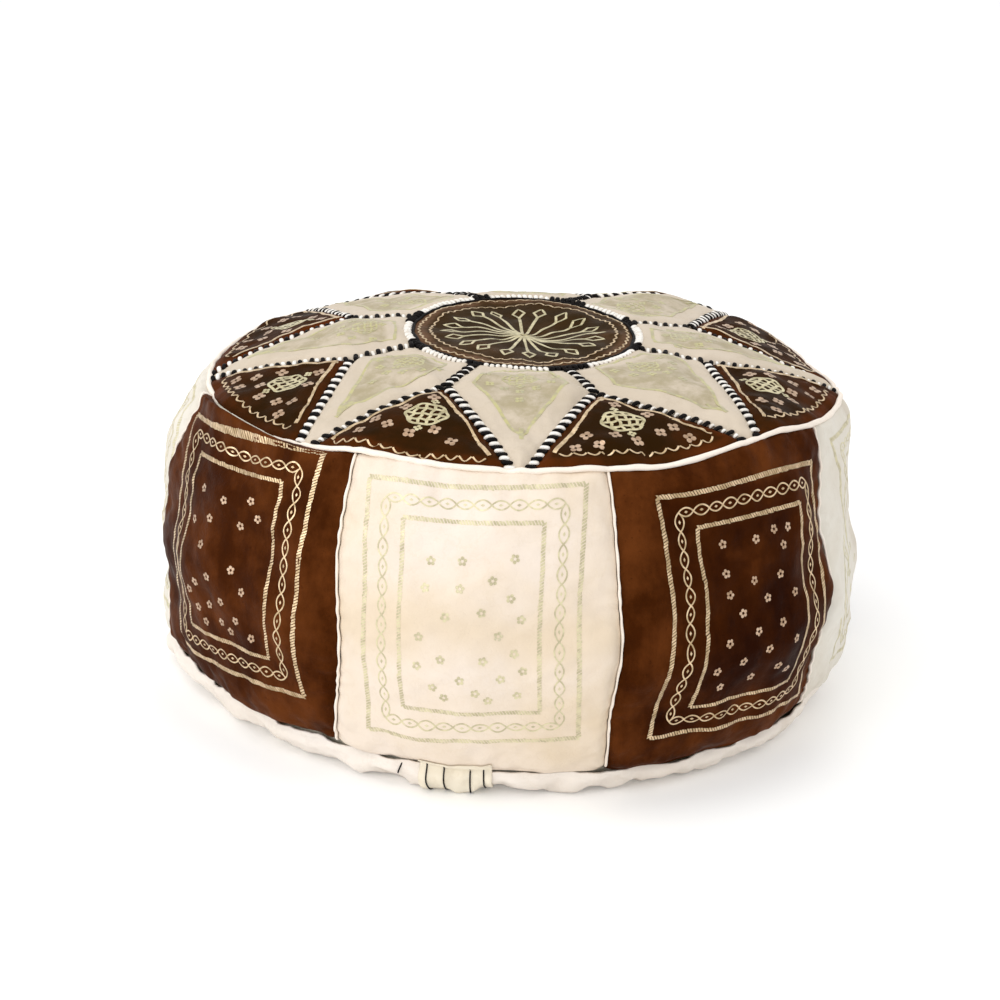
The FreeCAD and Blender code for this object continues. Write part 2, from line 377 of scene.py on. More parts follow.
def crown_relief(angle, radius, points):
    """Height of the crown's leather over its rest shape."""
    seam = crown_seam_distance(angle, radius)
    rim = RIM_RADIUS - radius
    open_leather = 1 - groove(seam, 9 * MM)
    depth = -SEAM_DIP * groove(seam, 4.5 * MM) - RIM_DIP * groove(rim, 3.5 * MM)
    soft = swells(points, 1.5, 75, 11) + swells(points, 0.8, 34, 12)
    puckers = swells(points, 0.3, 13, 13) * groove(seam, 11 * MM)
    creases = swells(points, 0.22, 17, 14)
    near_rim = 0.4 * MM * np.sin(np.radians(angle) * RIM_PUCKERS + 2 * hills(points, 60 * MM, 15))
    return depth + (soft + creases) * open_leather + puckers + near_rim * groove(rim, 12 * MM)


def flank_relief(angle, along, points):
    """Height of the side's and the base's leather over their rest shape."""
    seam = side_seam_distance(angle, along)
    below_hem = along - hem_along(angle)
    turn = np.radians(angle)
    depth = -SIDE_SEAM_DIP * groove(seam, 5 * MM) - RIM_DIP * groove(along, 4 * MM)
    below_ridge = along - (RIDGE_AT + RIDGE_SWING * np.sin(2 * turn + 0.6))
    fold = (RIDGE_RISE + np.sin(3 * turn)) * MM * groove(below_ridge, RIDGE_WIDTH)
    fold -= RIDGE_RISE * MM * groove(below_ridge - HOLLOW_BELOW, RIDGE_WIDTH)
    soft = swells(points, 2.0, 110, 21) + swells(points, 1.0, 46, 22)
    creases = swells(points * (1, 1, 1.6), 0.35, 17, 23)
    puckers = 0.7 * MM * np.sin(turn * SIDE_PUCKERS + 2.5 * hills(points, 80 * MM, 24))
    across_seam = 0.55 * MM * np.sin(along / SEAM_PUCKER + 3 * hills(points, 50 * MM, 25))
    edge_room = 1 - 0.8 * groove(np.minimum(seam, along), 10 * MM)
    side = depth + (fold + soft + creases) * edge_room
    side += puckers * groove(along, 16 * MM) + across_seam * groove(seam, 15 * MM)
    roll = swells(points, 1.5, 32, 26) + swells(points * (1, 1, 0.4), 0.9, 14, 27)
    base = roll * np.clip((BASE_FLAT_START + FLOOR_FADE_PAST - along) / FLOOR_FADE, 0, 1)
    return np.where(below_hem < 0, side, base) - SEAM_DIP * groove(np.abs(below_hem), 3.6 * MM)


# --- the push of the stuffing, by cloth simulation ---

SIM_COLUMNS = 288
CROWN_ROWS = 26
FLANK_ROWS = 50
SIM_END = FLANK_LENGTH - 185 * MM
SIM_FRAMES = 20
LARGEST_PUSH = 7 * MM
PINNED_WITHIN, PIN_FADE = 6.5 * MM, 3.5 * MM
CROWN_PUSH_LOST_AT_BACK = 0.9
PUSH = {}


def put_in_scene(name, data):
    """An object of some data, linked into the scene."""
    made = bpy.data.objects.new(name, data)
    bpy.context.scene.collection.objects.link(made)
    return made


def simulation_rows():
    """The rows of the cloth, each on the crown or the flank."""
    crown = [("crown", r) for r in np.linspace(MEDALLION_RADIUS, RIM_RADIUS, CROWN_ROWS)]
    flank = [("flank", s) for s in np.linspace(0, SIM_END, FLANK_ROWS + 1)[1:]]
    return crown + flank


def pinned(part, angle, along):
    """How firmly a place is held: 1 on a seam and on the floor, 0 in open leather."""
    if part == "crown":
        seam = np.minimum(crown_seam_distance(angle, along), RIM_RADIUS - along)
    else:
        hem = np.abs(along - hem_along(angle))
        seam = np.minimum(np.minimum(side_seam_distance(angle, along), along), hem)
        seam = np.where(along > BASE_FLAT_START - 4 * MM, 0, seam)
    return np.clip((PINNED_WITHIN - seam) / PIN_FADE, 0, 1)


def simulate_push():
    """Blows the cover up against its seams and keeps how far each place moved."""
    angles = FIRST_SEAM + np.arange(SIM_COLUMNS) * 360 / SIM_COLUMNS
    rows = simulation_rows()
    rests, points, hold = [], [], []
    for part, along in rows:
        place = np.full(SIM_COLUMNS, along)
        rest, normal = rest_shape(part, angles, place)
        pins = pinned(part, angles, place)
        rests.append(rest)
        points.append(rest + normal * (swells(rest, 1.2, 70, 31) * (1 - pins))[:, None])
        hold.append(pins)
    start = np.array(points)
    count = len(rows)
    corner = np.arange(count * SIM_COLUMNS).reshape(count, SIM_COLUMNS)
    after = np.roll(corner, -1, axis=1)
    faces = np.stack([corner[:-1], corner[1:], after[1:], after[:-1]], -1).reshape(-1, 4)
    mesh = bpy.data.meshes.new("cover_cloth")
    mesh.from_pydata(start.reshape(-1, 3).tolist(), [], faces.tolist())
    cloth = put_in_scene("cover_cloth", mesh)
    held = cloth.vertex_groups.new(name="held")
    for index, weight in enumerate(np.concatenate(hold)):
        if weight > 0:
            held.add([index], float(weight), "REPLACE")
    modifier = cloth.modifiers.new("cloth", "CLOTH")
    settings = modifier.settings
    settings.quality = 5
    settings.mass = 0.4
    settings.tension_stiffness = 25
    settings.compression_stiffness = 25
    settings.shear_stiffness = 12
    settings.bending_stiffness = 0.8
    settings.vertex_group_mass = "held"
    settings.pin_stiffness = 1
    settings.shrink_min = -0.012
    settings.use_pressure = True
    settings.uniform_pressure_force = 5
    settings.effector_weights.gravity = 0
    modifier.collision_settings.use_collision = False
    modifier.collision_settings.use_self_collision = False
    scene = bpy.context.scene
    modifier.point_cache.frame_end = SIM_FRAMES
    for step in range(1, SIM_FRAMES + 1):
        scene.frame_set(step)
    shaped = cloth.evaluated_get(bpy.context.evaluated_depsgraph_get()).to_mesh()
    end = np.zeros(len(shaped.vertices) * 3)
    shaped.vertices.foreach_get("co", end)
    push = end.reshape(start.shape) - np.array(rests)
    scene.frame_set(1)
    bpy.data.objects.remove(cloth)
    bpy.data.meshes.remove(mesh)
    size = np.linalg.norm(push, axis=-1, keepdims=True)
    push *= np.tanh(size / LARGEST_PUSH) * LARGEST_PUSH / np.maximum(size, 1e-9)
    PUSH["crown"] = push[:CROWN_ROWS]
    PUSH["flank"] = push[CROWN_ROWS - 1:]


def push_at(part, angle, along):
    """The simulated movement at a place, smooth between the simulated points."""
    if part not in PUSH:
        return 0.0
    grid = PUSH[part]
    rows = grid.shape[0]
    if part == "crown":
        row = (along - MEDALLION_RADIUS) / (RIM_RADIUS - MEDALLION_RADIUS) * (rows - 1)
    else:
        row = along / SIM_END * (rows - 1)
    angle, row = np.broadcast_arrays(np.asarray(angle, float), np.asarray(row, float))
    column = (angle - FIRST_SEAM) / 360 * SIM_COLUMNS
    inside = (row >= 0) & (row <= rows - 1)
    row = np.clip(row, 0, rows - 1 - 1e-6)
    total = np.zeros(angle.shape + (3,))
    for i, row_share in cubic_shares(row):
        for j, column_share in cubic_shares(column):
            value = grid[np.clip(i, 0, rows - 1), j % SIM_COLUMNS]
            total += value * (row_share * column_share)[..., None]
    return total * inside[..., None]


def cubic_shares(place):
    """The four grid lines round each place, with their Catmull-Rom shares."""
    low = np.floor(place).astype(int)
    t = place - low
    shares = (
        0.5 * (-t + 2 * t ** 2 - t ** 3),
        0.5 * (2 - 5 * t ** 2 + 3 * t ** 3),
        0.5 * (t + 4 * t ** 2 - 3 * t ** 3),
        0.5 * (t ** 3 - t ** 2),
    )
    return [(low + k - 1, share) for k, share in enumerate(shares)]


def cover(part, angle, along, lift=0.0):
    """Points on the finished cover, raised off the leather by lift, and the rest normals."""
    rest, normal = rest_shape(part, angle, along)
    relief = (crown_relief if part == "crown" else flank_relief)(angle, along, rest)
    push = push_at(part, angle, along)
    if part == "crown":
        push = push * (1 - CROWN_PUSH_LOST_AT_BACK * backness(angle))[..., None]
    points = rest + settling(part, angle, along) + push
    points += normal * (relief + lift)[..., None]
    if part == "flank":
        points[..., 2] = np.maximum(points[..., 2], 0)
    return points, normal


# --- mesh building ---

ON_FLOOR = 0.4 * MM


def make_piece(name, points, faces, materials, face_materials=None, smooth=True, field=None):
    """A mesh object from points and faces, riding on the pouf.

    field says how far each point is inside its patch's stamped field, from 0 to 1.
    """
    mesh = bpy.data.meshes.new(name)
    mesh.from_pydata([(x, y, max(z, 0.0)) for x, y, z in points], [], faces)
    if field is not None:
        mesh.attributes.new("field", "FLOAT", "POINT").data.foreach_set("value", field.astype(np.float32))
    for material in materials:
        mesh.materials.append(material)
    if face_materials is not None:
        mesh.polygons.foreach_set("material_index", np.asarray(face_materials, np.int32))
    mesh.polygons.foreach_set("use_smooth", np.full(len(mesh.polygons), smooth))
    mesh.update()
    piece = put_in_scene(name, mesh)
    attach(piece, "root")
    return piece


def grid_faces(rows, columns, start=0, flip=False, closed=False):
    """Quads over a grid of points, with the last column joined to the first if it is closed."""
    number = start + np.arange(rows * columns).reshape(rows, columns)
    after = np.roll(number, -1, axis=1)
    if not closed:
        number, after = number[:, :-1], after[:, :-1]
    quads = np.stack([number[:-1], after[:-1], after[1:], number[1:]], -1).reshape(-1, 4)
    return (quads[:, ::-1] if flip else quads).tolist()


def both_skins(top, bottom):
    """The points of two skins, one after the other."""
    return np.concatenate([top.reshape(-1, 3), bottom.reshape(-1, 3)])


def wall(loop, count):
    """Quads between a loop of points and the same loop on the other skin, count points on."""
    after = np.roll(loop, -1)
    return np.stack([loop, after, after + count, loop + count], -1).tolist()


def thick_patch(name, part, angle, along, materials, thickness=LEATHER, lift=0.0, field=None):
    """A closed piece of leather over a grid of places."""
    rows, columns = angle.shape
    top, normal = cover(part, angle, along, lift)
    bottom = top - normal * thickness
    bottom[..., 2] = np.where(top[..., 2] <= ON_FLOOR, top[..., 2] + thickness, bottom[..., 2])
    count = rows * columns
    faces = grid_faces(rows, columns, flip=part == "flank")
    faces += grid_faces(rows, columns, start=count, flip=part != "flank")
    number = np.arange(count).reshape(rows, columns)
    loop = np.concatenate([number[0, :-1], number[:-1, -1], number[-1, :0:-1], number[:0:-1, 0]])
    after = np.roll(loop, -1)
    walls = np.stack([loop, loop + count, after + count, after], -1)
    faces += (walls if part != "flank" else walls[:, ::-1]).tolist()
    if field is not None:
        field = np.tile(field.reshape(-1), 2)
    return make_piece(name, both_skins(top, bottom), faces, materials, field=field)


def tubes(lines, normals, half_width, half_rise, sides=8, closed=False):
    """Tubes of oval section along lines (lines, points, 3): their points and faces.

    half_width and half_rise are numbers, or one for each point of a line.
    """
    lines, normals = np.asarray(lines, float), np.asarray(normals, float)
    count, length = lines.shape[:2]
    if closed:
        run = np.roll(lines, -1, axis=1) - np.roll(lines, 1, axis=1)
    else:
        run = np.gradient(lines, axis=1)
    aside = np.cross(normals, run)
    aside /= np.maximum(np.linalg.norm(aside, axis=-1, keepdims=True), 1e-12)
    rise = np.cross(run, aside)
    rise /= np.maximum(np.linalg.norm(rise, axis=-1, keepdims=True), 1e-12)
    turn = (np.arange(sides) + (0.5 if sides == 4 else 0)) * 2 * math.pi / sides
    scale = math.sqrt(2) if sides == 4 else 1.0
    wide = np.broadcast_to(half_width, (count, length))[..., None, None] * scale
    high = np.broadcast_to(half_rise, (count, length))[..., None, None] * scale
    ring = aside[:, :, None] * (wide * np.cos(turn)[:, None])
    ring = ring + rise[:, :, None] * (high * np.sin(turn)[:, None])
    points = (lines[:, :, None] + ring).reshape(-1, 3)
    number = np.arange(count * length * sides).reshape(count, length, sides)
    around = np.roll(number, -1, axis=2)
    if closed:
        ahead, ahead_around = np.roll(number, -1, axis=1), np.roll(around, -1, axis=1)
        quads = np.stack([number, around, ahead_around, ahead], -1)
        return points, quads.reshape(-1, 4).tolist()
    quads = np.stack([number[:, :-1], around[:, :-1], around[:, 1:], number[:, 1:]], -1)
    faces = quads.reshape(-1, 4).tolist()
    faces += number[:, 0, ::-1].tolist() + number[:, -1].tolist()
    return points, faces


def gather(groups):
    """Several (points, faces) made into one, with the group that each face came from."""
    points, faces, owners = [], [], []
    start = 0
    for index, (group_points, group_faces) in enumerate(groups):
        points.append(np.asarray(group_points))
        faces += [[corner + start for corner in face] for face in group_faces]
        owners += [index] * len(group_faces)
        start += len(group_points)
    return np.concatenate(points), faces, owners


# --- materials ---

class Value:
    """A socket's value in a finish. Sums on it add Math nodes."""

    def __init__(self, finish, socket):
        self.finish = finish
        self.socket = socket

    def math(self, operation, *others, clamp=False):
        settings = {"operation": operation, "use_clamp": clamp}
        inputs = dict(enumerate((self,) + others))
        return self.finish.node("ShaderNodeMath", settings, inputs)

    def __add__(self, other):
        return self.math("ADD", other)

    def __sub__(self, other):
        return self.math("SUBTRACT", other)

    def __rsub__(self, other):
        return self.finish.node("ShaderNodeMath", {"operation": "SUBTRACT"}, {0: other, 1: self})

    def __mul__(self, other):
        return self.math("MULTIPLY", other)

    __radd__ = __add__
    __rmul__ = __mul__

    def within(self, low, high, start=0.0, end=1.0):
        """This value's place between low and high, eased, taken from start to end."""
        settings = {"interpolation_type": "SMOOTHSTEP"}
        inputs = {0: self, 1: low, 2: high, 3: start, 4: end}
        return self.finish.node("ShaderNodeMapRange", settings, inputs)


class Finish:
    """A material being made."""

    def __init__(self, name):
        self.material = bpy.data.materials.new(name)
        self.material.use_nodes = True
        self.tree = self.material.node_tree
        self.tree.nodes.clear()
        self.places = self.node("ShaderNodeTexCoord", output="Object")

    def node(self, kind, settings=None, inputs=None, output=0):
        """Adds a node: its settings first, then its sockets' values or links."""
        made = self.tree.nodes.new(kind)
        for key, value in (settings or {}).items():
            if key == "stops":
                self.set_stops(made.color_ramp, value)
            else:
                setattr(made, key, value)
        for key, value in (inputs or {}).items():
            if isinstance(value, Value):
                self.tree.links.new(value.socket, made.inputs[key])
            else:
                made.inputs[key].default_value = value
        return Value(self, made.outputs[output]) if made.outputs else made

    @staticmethod
    def set_stops(ramp, stops):
        while len(ramp.elements) < len(stops):
            ramp.elements.new(1.0)
        for element, (position, colour) in zip(ramp.elements, stops):
            element.position = position
            element.color = (*colour, 1)

    def noise(self, size, detail=4.0, roughness=0.55, stretch=(1, 1, 1), shift=0.0):
        """Cloudy noise with features of about one size in metres."""
        inputs = {"Vector": self.places, "Location": (shift, shift * 0.7, -shift), "Scale": stretch}
        place = self.node("ShaderNodeMapping", {}, inputs)
        inputs = {"Vector": place, "Scale": 1 / size, "Detail": detail, "Roughness": roughness}
        return self.node("ShaderNodeTexNoise", {}, inputs)

    def cells(self, size, feature="F1", warp=0.0):
        """Cells of about one size in metres."""
        place = self.places
        if warp:
            inputs = {"Vector": place, "Scale": 1 / (3 * size)}
            drift = self.node("ShaderNodeTexNoise", {}, inputs, "Color")
            drift = self.node("ShaderNodeVectorMath", {"operation": "SCALE"}, {0: drift, "Scale": warp})
            place = self.node("ShaderNodeVectorMath", {"operation": "ADD"}, {0: place, 1: drift})
        inputs = {"Vector": place, "Scale": 1 / size}
        return self.node("ShaderNodeTexVoronoi", {"feature": feature}, inputs, "Distance")

    def field(self):
        """How far each place is inside its patch's stamped field."""
        return self.node("ShaderNodeAttribute", {"attribute_name": "field"}, output="Fac")

    def mix(self, first, second, share):
        """A colour between two, by share."""
        first, second = (c if isinstance(c, Value) else (*c, 1) for c in (first, second))
        inputs = {0: share, 6: first, 7: second}
        return self.node("ShaderNodeMix", {"data_type": "RGBA"}, inputs, 2)

    def ramp(self, value, stops):
        """A colour picked along the stops, each a position and its colour."""
        return self.node("ShaderNodeValToRGB", {"stops": stops}, {0: value})

    def bump(self, height, distance, strength):
        """A normal tilted by a height."""
        inputs = {"Height": height, "Distance": distance, "Strength": strength}
        return self.node("ShaderNodeBump", {}, inputs)

    def surface(self, **sockets):
        """The finished surface: each socket by its name, with _ for a space."""
        inputs = {key.replace("_", " "): value for key, value in sockets.items()}
        for key, value in inputs.items():
            if isinstance(value, tuple) and len(value) == 3:
                inputs[key] = (*value, 1)
        surface = self.node("ShaderNodeBsdfPrincipled", {}, inputs)
        self.node("ShaderNodeOutputMaterial", {}, {"Surface": surface})
        return self.material


def leather_height(finish):
    """Goatskin's pebble grain with fine creases and soft dimples."""
    pebbles = finish.cells(1.3 * MM, feature="SMOOTH_F1", warp=0.6 * MM)
    creases = finish.noise(9 * MM, detail=6, roughness=0.6)
    folds = (creases - 0.5).math("ABSOLUTE").within(0.0, 0.06)
    return pebbles * 0.25 + folds * 0.45 + finish.noise(4 * MM, detail=3) * 0.5


def brown_leather(name, deep, middle, warm, gloss, shift=0.0):
    """Brown goatskin, darker inside its stamped field and redder in its margins."""
    finish = Finish(name)
    clouds = finish.noise(70 * MM, detail=5, roughness=0.6, shift=shift)
    streaks = finish.noise(28 * MM, detail=6, roughness=0.65, stretch=(1, 1, 0.45), shift=shift + 1)
    tone = clouds * 0.6 + streaks * 0.4 - finish.field() * 0.15 + 0.06
    colour = finish.ramp(tone, [(0.34, deep), (0.5, middle), (0.66, warm)])
    specks = finish.noise(3.2 * MM, detail=3, roughness=0.7).within(0.6, 0.75)
    colour = finish.mix(colour, deep, specks * 0.45)
    rubbed = finish.noise(45 * MM, detail=5, shift=shift + 2).within(0.56, 0.72)
    colour = finish.mix(colour, warm, rubbed * 0.35)
    roughness = finish.noise(20 * MM, detail=4, shift=shift + 3).within(0.3, 0.7, 0.38, 0.6)
    normal = finish.bump(leather_height(finish), 0.35 * MM, 0.5)
    return finish.surface(Base_Color=colour, Roughness=roughness, Normal=normal, Specular_IOR_Level=gloss,
                          Specular_Tint=(1.0, 0.62, 0.38))


# Painted shade: the height, reach and waver of a tan band round a cream side panel, standing in for the
# shade under the side's fold
SHADE_BAND_HEIGHT = 133 * MM
SHADE_BAND_REACH = 34 * MM
SHADE_BAND_WAVER = 50 * MM


def cream_leather(name, pale, middle, stain_and_shade, shift=0.0, painted_shade_band=False, field_tone=None):
    """Undyed goatskin: clouded, with an optional tan band of painted shade at one height, and dulled where
    it is stamped.
    """
    finish = Finish(name)
    clouds = finish.noise(90 * MM, detail=5, roughness=0.55, shift=shift)
    colour = finish.ramp(clouds, [(0.36, pale), (0.58, middle), (0.82, stain_and_shade)])
    if painted_shade_band:
        # Painted shade: the stain and shade tone is mixed in as a tan band at one height, where the leather
        # below the side's fold turns downward; the same tone also gives the real stains, specks and veins
        height = finish.node("ShaderNodeSeparateXYZ", {}, {0: finish.places}, "Z")
        waver = finish.noise(60 * MM, detail=3, shift=shift + 5) * SHADE_BAND_WAVER
        from_shade_band = (height + waver - (SHADE_BAND_WAVER / 2 + SHADE_BAND_HEIGHT)).math("ABSOLUTE")
        colour = finish.mix(colour, stain_and_shade, from_shade_band.within(0.0, SHADE_BAND_REACH, 1.0, 0.0) * 0.6)
    if field_tone:
        patchy = finish.noise(16 * MM, detail=5, roughness=0.65, shift=shift + 6).within(0.3, 0.66)
        colour = finish.mix(colour, field_tone, finish.field() * (patchy * 0.75 + 0.15))
    specks = finish.noise(5 * MM, detail=4, roughness=0.7, shift=shift + 1).within(0.62, 0.8)
    colour = finish.mix(colour, stain_and_shade, specks * 0.25)
    veins = (finish.noise(40 * MM, detail=7, roughness=0.65, shift=shift + 4) - 0.5).math("ABSOLUTE")
    colour = finish.mix(colour, stain_and_shade, veins.within(0.0, 0.02, 0.14, 0.0))
    roughness = finish.noise(24 * MM, detail=4, shift=shift + 2).within(0.3, 0.7, 0.44, 0.62)
    normal = finish.bump(leather_height(finish), 0.3 * MM, 0.45)
    return finish.surface(Base_Color=colour, Roughness=roughness, Normal=normal, Specular_IOR_Level=0.3)


def stamped_foil(name, bright, dull, under, worn, metal=0.75):
    """Gold foil, worn through to the leather in places."""
    finish = Finish(name)
    rub = finish.noise(14 * MM, detail=6, roughness=0.7)
    grain = finish.noise(1.6 * MM, detail=2, roughness=0.6, shift=1.0)
    kept = (rub * 0.7 + grain * 0.3).within(0.5 * worn - 0.08, 0.5 * worn + 0.12)
    colour = finish.mix(dull, bright, finish.noise(5 * MM, detail=4).within(0.35, 0.65))
    colour = finish.mix(under, colour, kept)
    normal = finish.bump(finish.noise(1.2 * MM, detail=3), 0.12 * MM, 0.6)
    return finish.surface(Base_Color=colour, Metallic=kept * metal, Roughness=kept.within(0, 1, 0.5, 0.36),
                          Normal=normal)


def lace_leather(name, colour, edge, roughness=0.5):
    """Thin strips or thread of one colour, a little shaded."""
    finish = Finish(name)
    tone = finish.noise(3 * MM, detail=5, roughness=0.65)
    shade = finish.mix(colour, edge, tone.within(0.45, 0.7))
    normal = finish.bump(finish.noise(0.9 * MM, detail=4), 0.2 * MM, 0.6)
    return finish.surface(Base_Color=shade, Roughness=tone.within(0, 1, roughness - 0.1, roughness + 0.1),
                          Normal=normal, Specular_IOR_Level=0.04)


def cotton(name, colour, shade):
    """Undyed cotton with an open weave."""
    finish = Finish(name)
    weave = finish.cells(0.9 * MM)
    mixed = finish.mix(shade, colour, weave.within(0.0, 0.6))
    normal = finish.bump(weave + finish.noise(6 * MM), 0.4 * MM, 0.6)
    return finish.surface(Base_Color=mixed, Roughness=0.95, Normal=normal)


SIDE_BROWN = brown_leather("side_brown", (0.017, 0.0032, 0.0007), (0.042, 0.0096, 0.0015),
                           (0.104, 0.028, 0.0058), gloss=0.018)
CROWN_BROWN = brown_leather("crown_brown", (0.021, 0.0085, 0.0016), (0.041, 0.0125, 0.0022),
                            (0.085, 0.0195, 0.0032), shift=3.0, gloss=0.012)
MEDALLION_BROWN = brown_leather("medallion_brown", (0.024, 0.0125, 0.003), (0.045, 0.022, 0.0065),
                                (0.14, 0.073, 0.040), shift=6.0, gloss=0.024)
# side_cream has the band of painted shade round the side; side_cream_pale has none
SIDE_CREAM = cream_leather("side_cream", (0.765, 0.665, 0.575), (0.73, 0.615, 0.49), (0.65, 0.52, 0.36),
                           painted_shade_band=True)
SIDE_CREAM_PALE = cream_leather("side_cream_pale", (0.70, 0.665, 0.595), (0.655, 0.605, 0.52),
                                (0.50, 0.43, 0.34), shift=7.0)
CROWN_CREAM = cream_leather("crown_cream", (0.60, 0.51, 0.405), (0.55, 0.465, 0.36), (0.42, 0.345, 0.235),
                            shift=4.0, field_tone=(0.34, 0.285, 0.165))
BASE_WHITE = cream_leather("base_white", (0.82, 0.75, 0.68), (0.79, 0.715, 0.635), (0.62, 0.52, 0.425),
                           shift=8.0)
FLAP_LEATHER = cream_leather("flap_leather", (0.82, 0.75, 0.62), (0.78, 0.70, 0.56), (0.62, 0.51, 0.35),
                             shift=2.0)
WELT_LEATHER = cream_leather("welt_leather", (0.87, 0.79, 0.70), (0.84, 0.74, 0.64), (0.62, 0.50, 0.40),
                             shift=5.0)
GOLD_ON_BROWN = stamped_foil("gold_on_brown", (0.76, 0.58, 0.37), (0.46, 0.33, 0.18), (0.07, 0.025, 0.01),
                             worn=0.16)
DULL_GOLD = stamped_foil("dull_gold", (0.60, 0.43, 0.30), (0.40, 0.26, 0.16), (0.06, 0.02, 0.008),
                         worn=0.14)
GOLD_ON_CREAM = stamped_foil("gold_on_cream", (0.66, 0.60, 0.38), (0.46, 0.41, 0.26), (0.77, 0.66, 0.56),
                             worn=0.66, metal=0.25)
OLIVE_ON_CREAM = stamped_foil("olive_on_cream", (0.50, 0.46, 0.21), (0.40, 0.36, 0.22), (0.50, 0.43, 0.30),
                              worn=0.45, metal=0.1)
PALE_GOLD = stamped_foil("pale_gold", (0.72, 0.64, 0.40), (0.45, 0.39, 0.22), (0.06, 0.03, 0.015), worn=0.12)
BLACK_LACE = lace_leather("black_lace", (0.006, 0.005, 0.005), (0.018, 0.014, 0.013))
WHITE_LACE = lace_leather("white_lace", (0.86, 0.83, 0.78), (0.68, 0.62, 0.54))
BLACK_THREAD = lace_leather("black_thread", (0.012, 0.010, 0.011), (0.03, 0.026, 0.028), 0.6)
LINING_COTTON = cotton("lining_cotton", (0.68, 0.63, 0.52), (0.5, 0.45, 0.36))
STUFFING_COTTON = cotton("stuffing_cotton", (0.78, 0.75, 0.68), (0.6, 0.57, 0.5))


# --- the leather patches ---

def spread_from_edges(width, fine, coarse):
    """Shares from 0 to 1 across a width: close together near both edges, even between."""
    steps = [0.0, 0.7 * fine, 1.7 * fine, 3.0 * fine, 4.6 * fine, 6.6 * fine]
    middle = max(2, int(round((width - 2 * steps[-1]) / coarse)))
    inner = np.linspace(steps[-1], width - steps[-1], middle + 1)
    return np.concatenate([steps[:-1], inner, width - np.array(steps[-2::-1])]) / width


def inside_box(x, y, width, height, soft=7 * MM):
    """1 well inside a box round the origin and 0 outside it."""
    room = np.minimum(width / 2 - np.abs(x), height / 2 - np.abs(y))
    return ease(room / soft * 0.5 + 0.5)


def side_field(panel, angle, along):
    """How far a place on a side panel is inside the stamp's two frames."""
    x, y = side_stamp_reverse(panel, angle, along)
    field = 0.55 * inside_box(x, y, *FRAME_OUTER) + 0.45 * inside_box(x, y, *FRAME_INNER)
    return field * (FADED_FIELD if panel == FADED_PANEL else 1.0)


FINE = 1.0 * MM
COARSE = 2.3 * MM
SIDE_SEAM_ROOM = math.degrees(0.9 * MM / BELLY_RADIUS)
RIM_ROOM = 1.2 * MM
HEM_ROOM = 0.5 * MM
PATCH_ROOM = 0.5 * MM
PATCH_WIDTH = 90 * MM
FIELD_FADE = 5 * MM
FADED_PANEL, FADED_FIELD = 6, 0.3
SHADE_BAND_PANEL = 7


def make_side_panels():
    across = spread_from_edges(BELLY_RADIUS * math.radians(PANEL_PITCH), FINE, COARSE)
    down = spread_from_edges(SIDE_LENGTH, FINE, COARSE)
    for index in range(PANELS):
        colour = ("brown", "cream")[index % 2]
        name = "side_%s_%d" % (colour, index // 2 + 1)
        middle = SEAM_ANGLES[index] + PANEL_PITCH / 2
        along = np.tile(down[:, None] * SIDE_LENGTH, (1, len(across)))
        left = seam_angle(index, along) + SIDE_SEAM_ROOM
        right = seam_angle((index + 1) % PANELS, along) - SIDE_SEAM_ROOM
        right += 360 * np.round((middle + PANEL_PITCH / 2 - right) / 360)
        angle = left + (right - left) * across[None, :]
        along = RIM_ROOM + (hem_along(angle) - HEM_ROOM - RIM_ROOM) * down[:, None]
        # The front cream panel takes the finish with the band of painted shade; the others take the pale
        # finish
        cream = SIDE_CREAM if index == SHADE_BAND_PANEL else SIDE_CREAM_PALE
        material = SIDE_BROWN if colour == "brown" else cream
        field = side_field(index, angle, along)
        piece = thick_patch(name + "_skin", "flank", angle, along, [material], field=field)
        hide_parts(name)


def make_base():
    down = [gap * MM for gap in (0.5, 1.2, 2.2, 3.5, 5.2)]
    rows_to_foot = 14
    angles = round_angles(320)
    hem = hem_along(angles)
    rows = [hem + gap for gap in down]
    rows += [hem + down[-1] + (BASE_FLAT_START - hem - down[-1]) * k / rows_to_foot
             for k in range(1, rows_to_foot + 1)]
    rows += [np.full(len(angles), BASE_FLAT_START + FOOT_RADIUS * k) for k in (0.06, 0.2, 0.45, 0.75, 0.95)]
    angle = np.tile(angles, (len(rows), 1))
    top, normal = cover("flank", angle, np.array(rows))
    inner = top - normal * LEATHER
    inner[..., 2] = np.maximum(inner[..., 2], LEATHER)
    count = angle.size
    last = np.arange(count - len(angles), count)
    faces = grid_faces(*angle.shape, flip=True, closed=True)
    faces += grid_faces(*angle.shape, start=count, closed=True)
    faces += wall(np.arange(len(angles)), count)
    faces += [last.tolist(), (last + count)[::-1].tolist()]
    piece = make_piece("base_skin", both_skins(top, inner), faces, [BASE_WHITE])
    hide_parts("base_panel")


def crown_patch(node, rows, left, right, material, margin):
    """A patch of the crown between two edges, given at each row's radius."""
    across = spread_from_edges(PATCH_WIDTH, FINE, COARSE)
    angle = left[:, None] + (right - left)[:, None] * across[None, :]
    along = np.tile(rows[:, None], (1, len(across)))
    room = np.minimum(crown_seam_distance(angle, along), RIM_RADIUS - along)
    field = ease((room - margin) / FIELD_FADE + 0.5)
    piece = thick_patch(node + "_skin", "crown", angle, along, [material], field=field)
    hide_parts(node)


def patch_rows(inner):
    """Radii from an inner one out to the rim."""
    outer = RIM_RADIUS - 1.4 * MM
    return inner + spread_from_edges(outer - inner, FINE, COARSE) * (outer - inner)


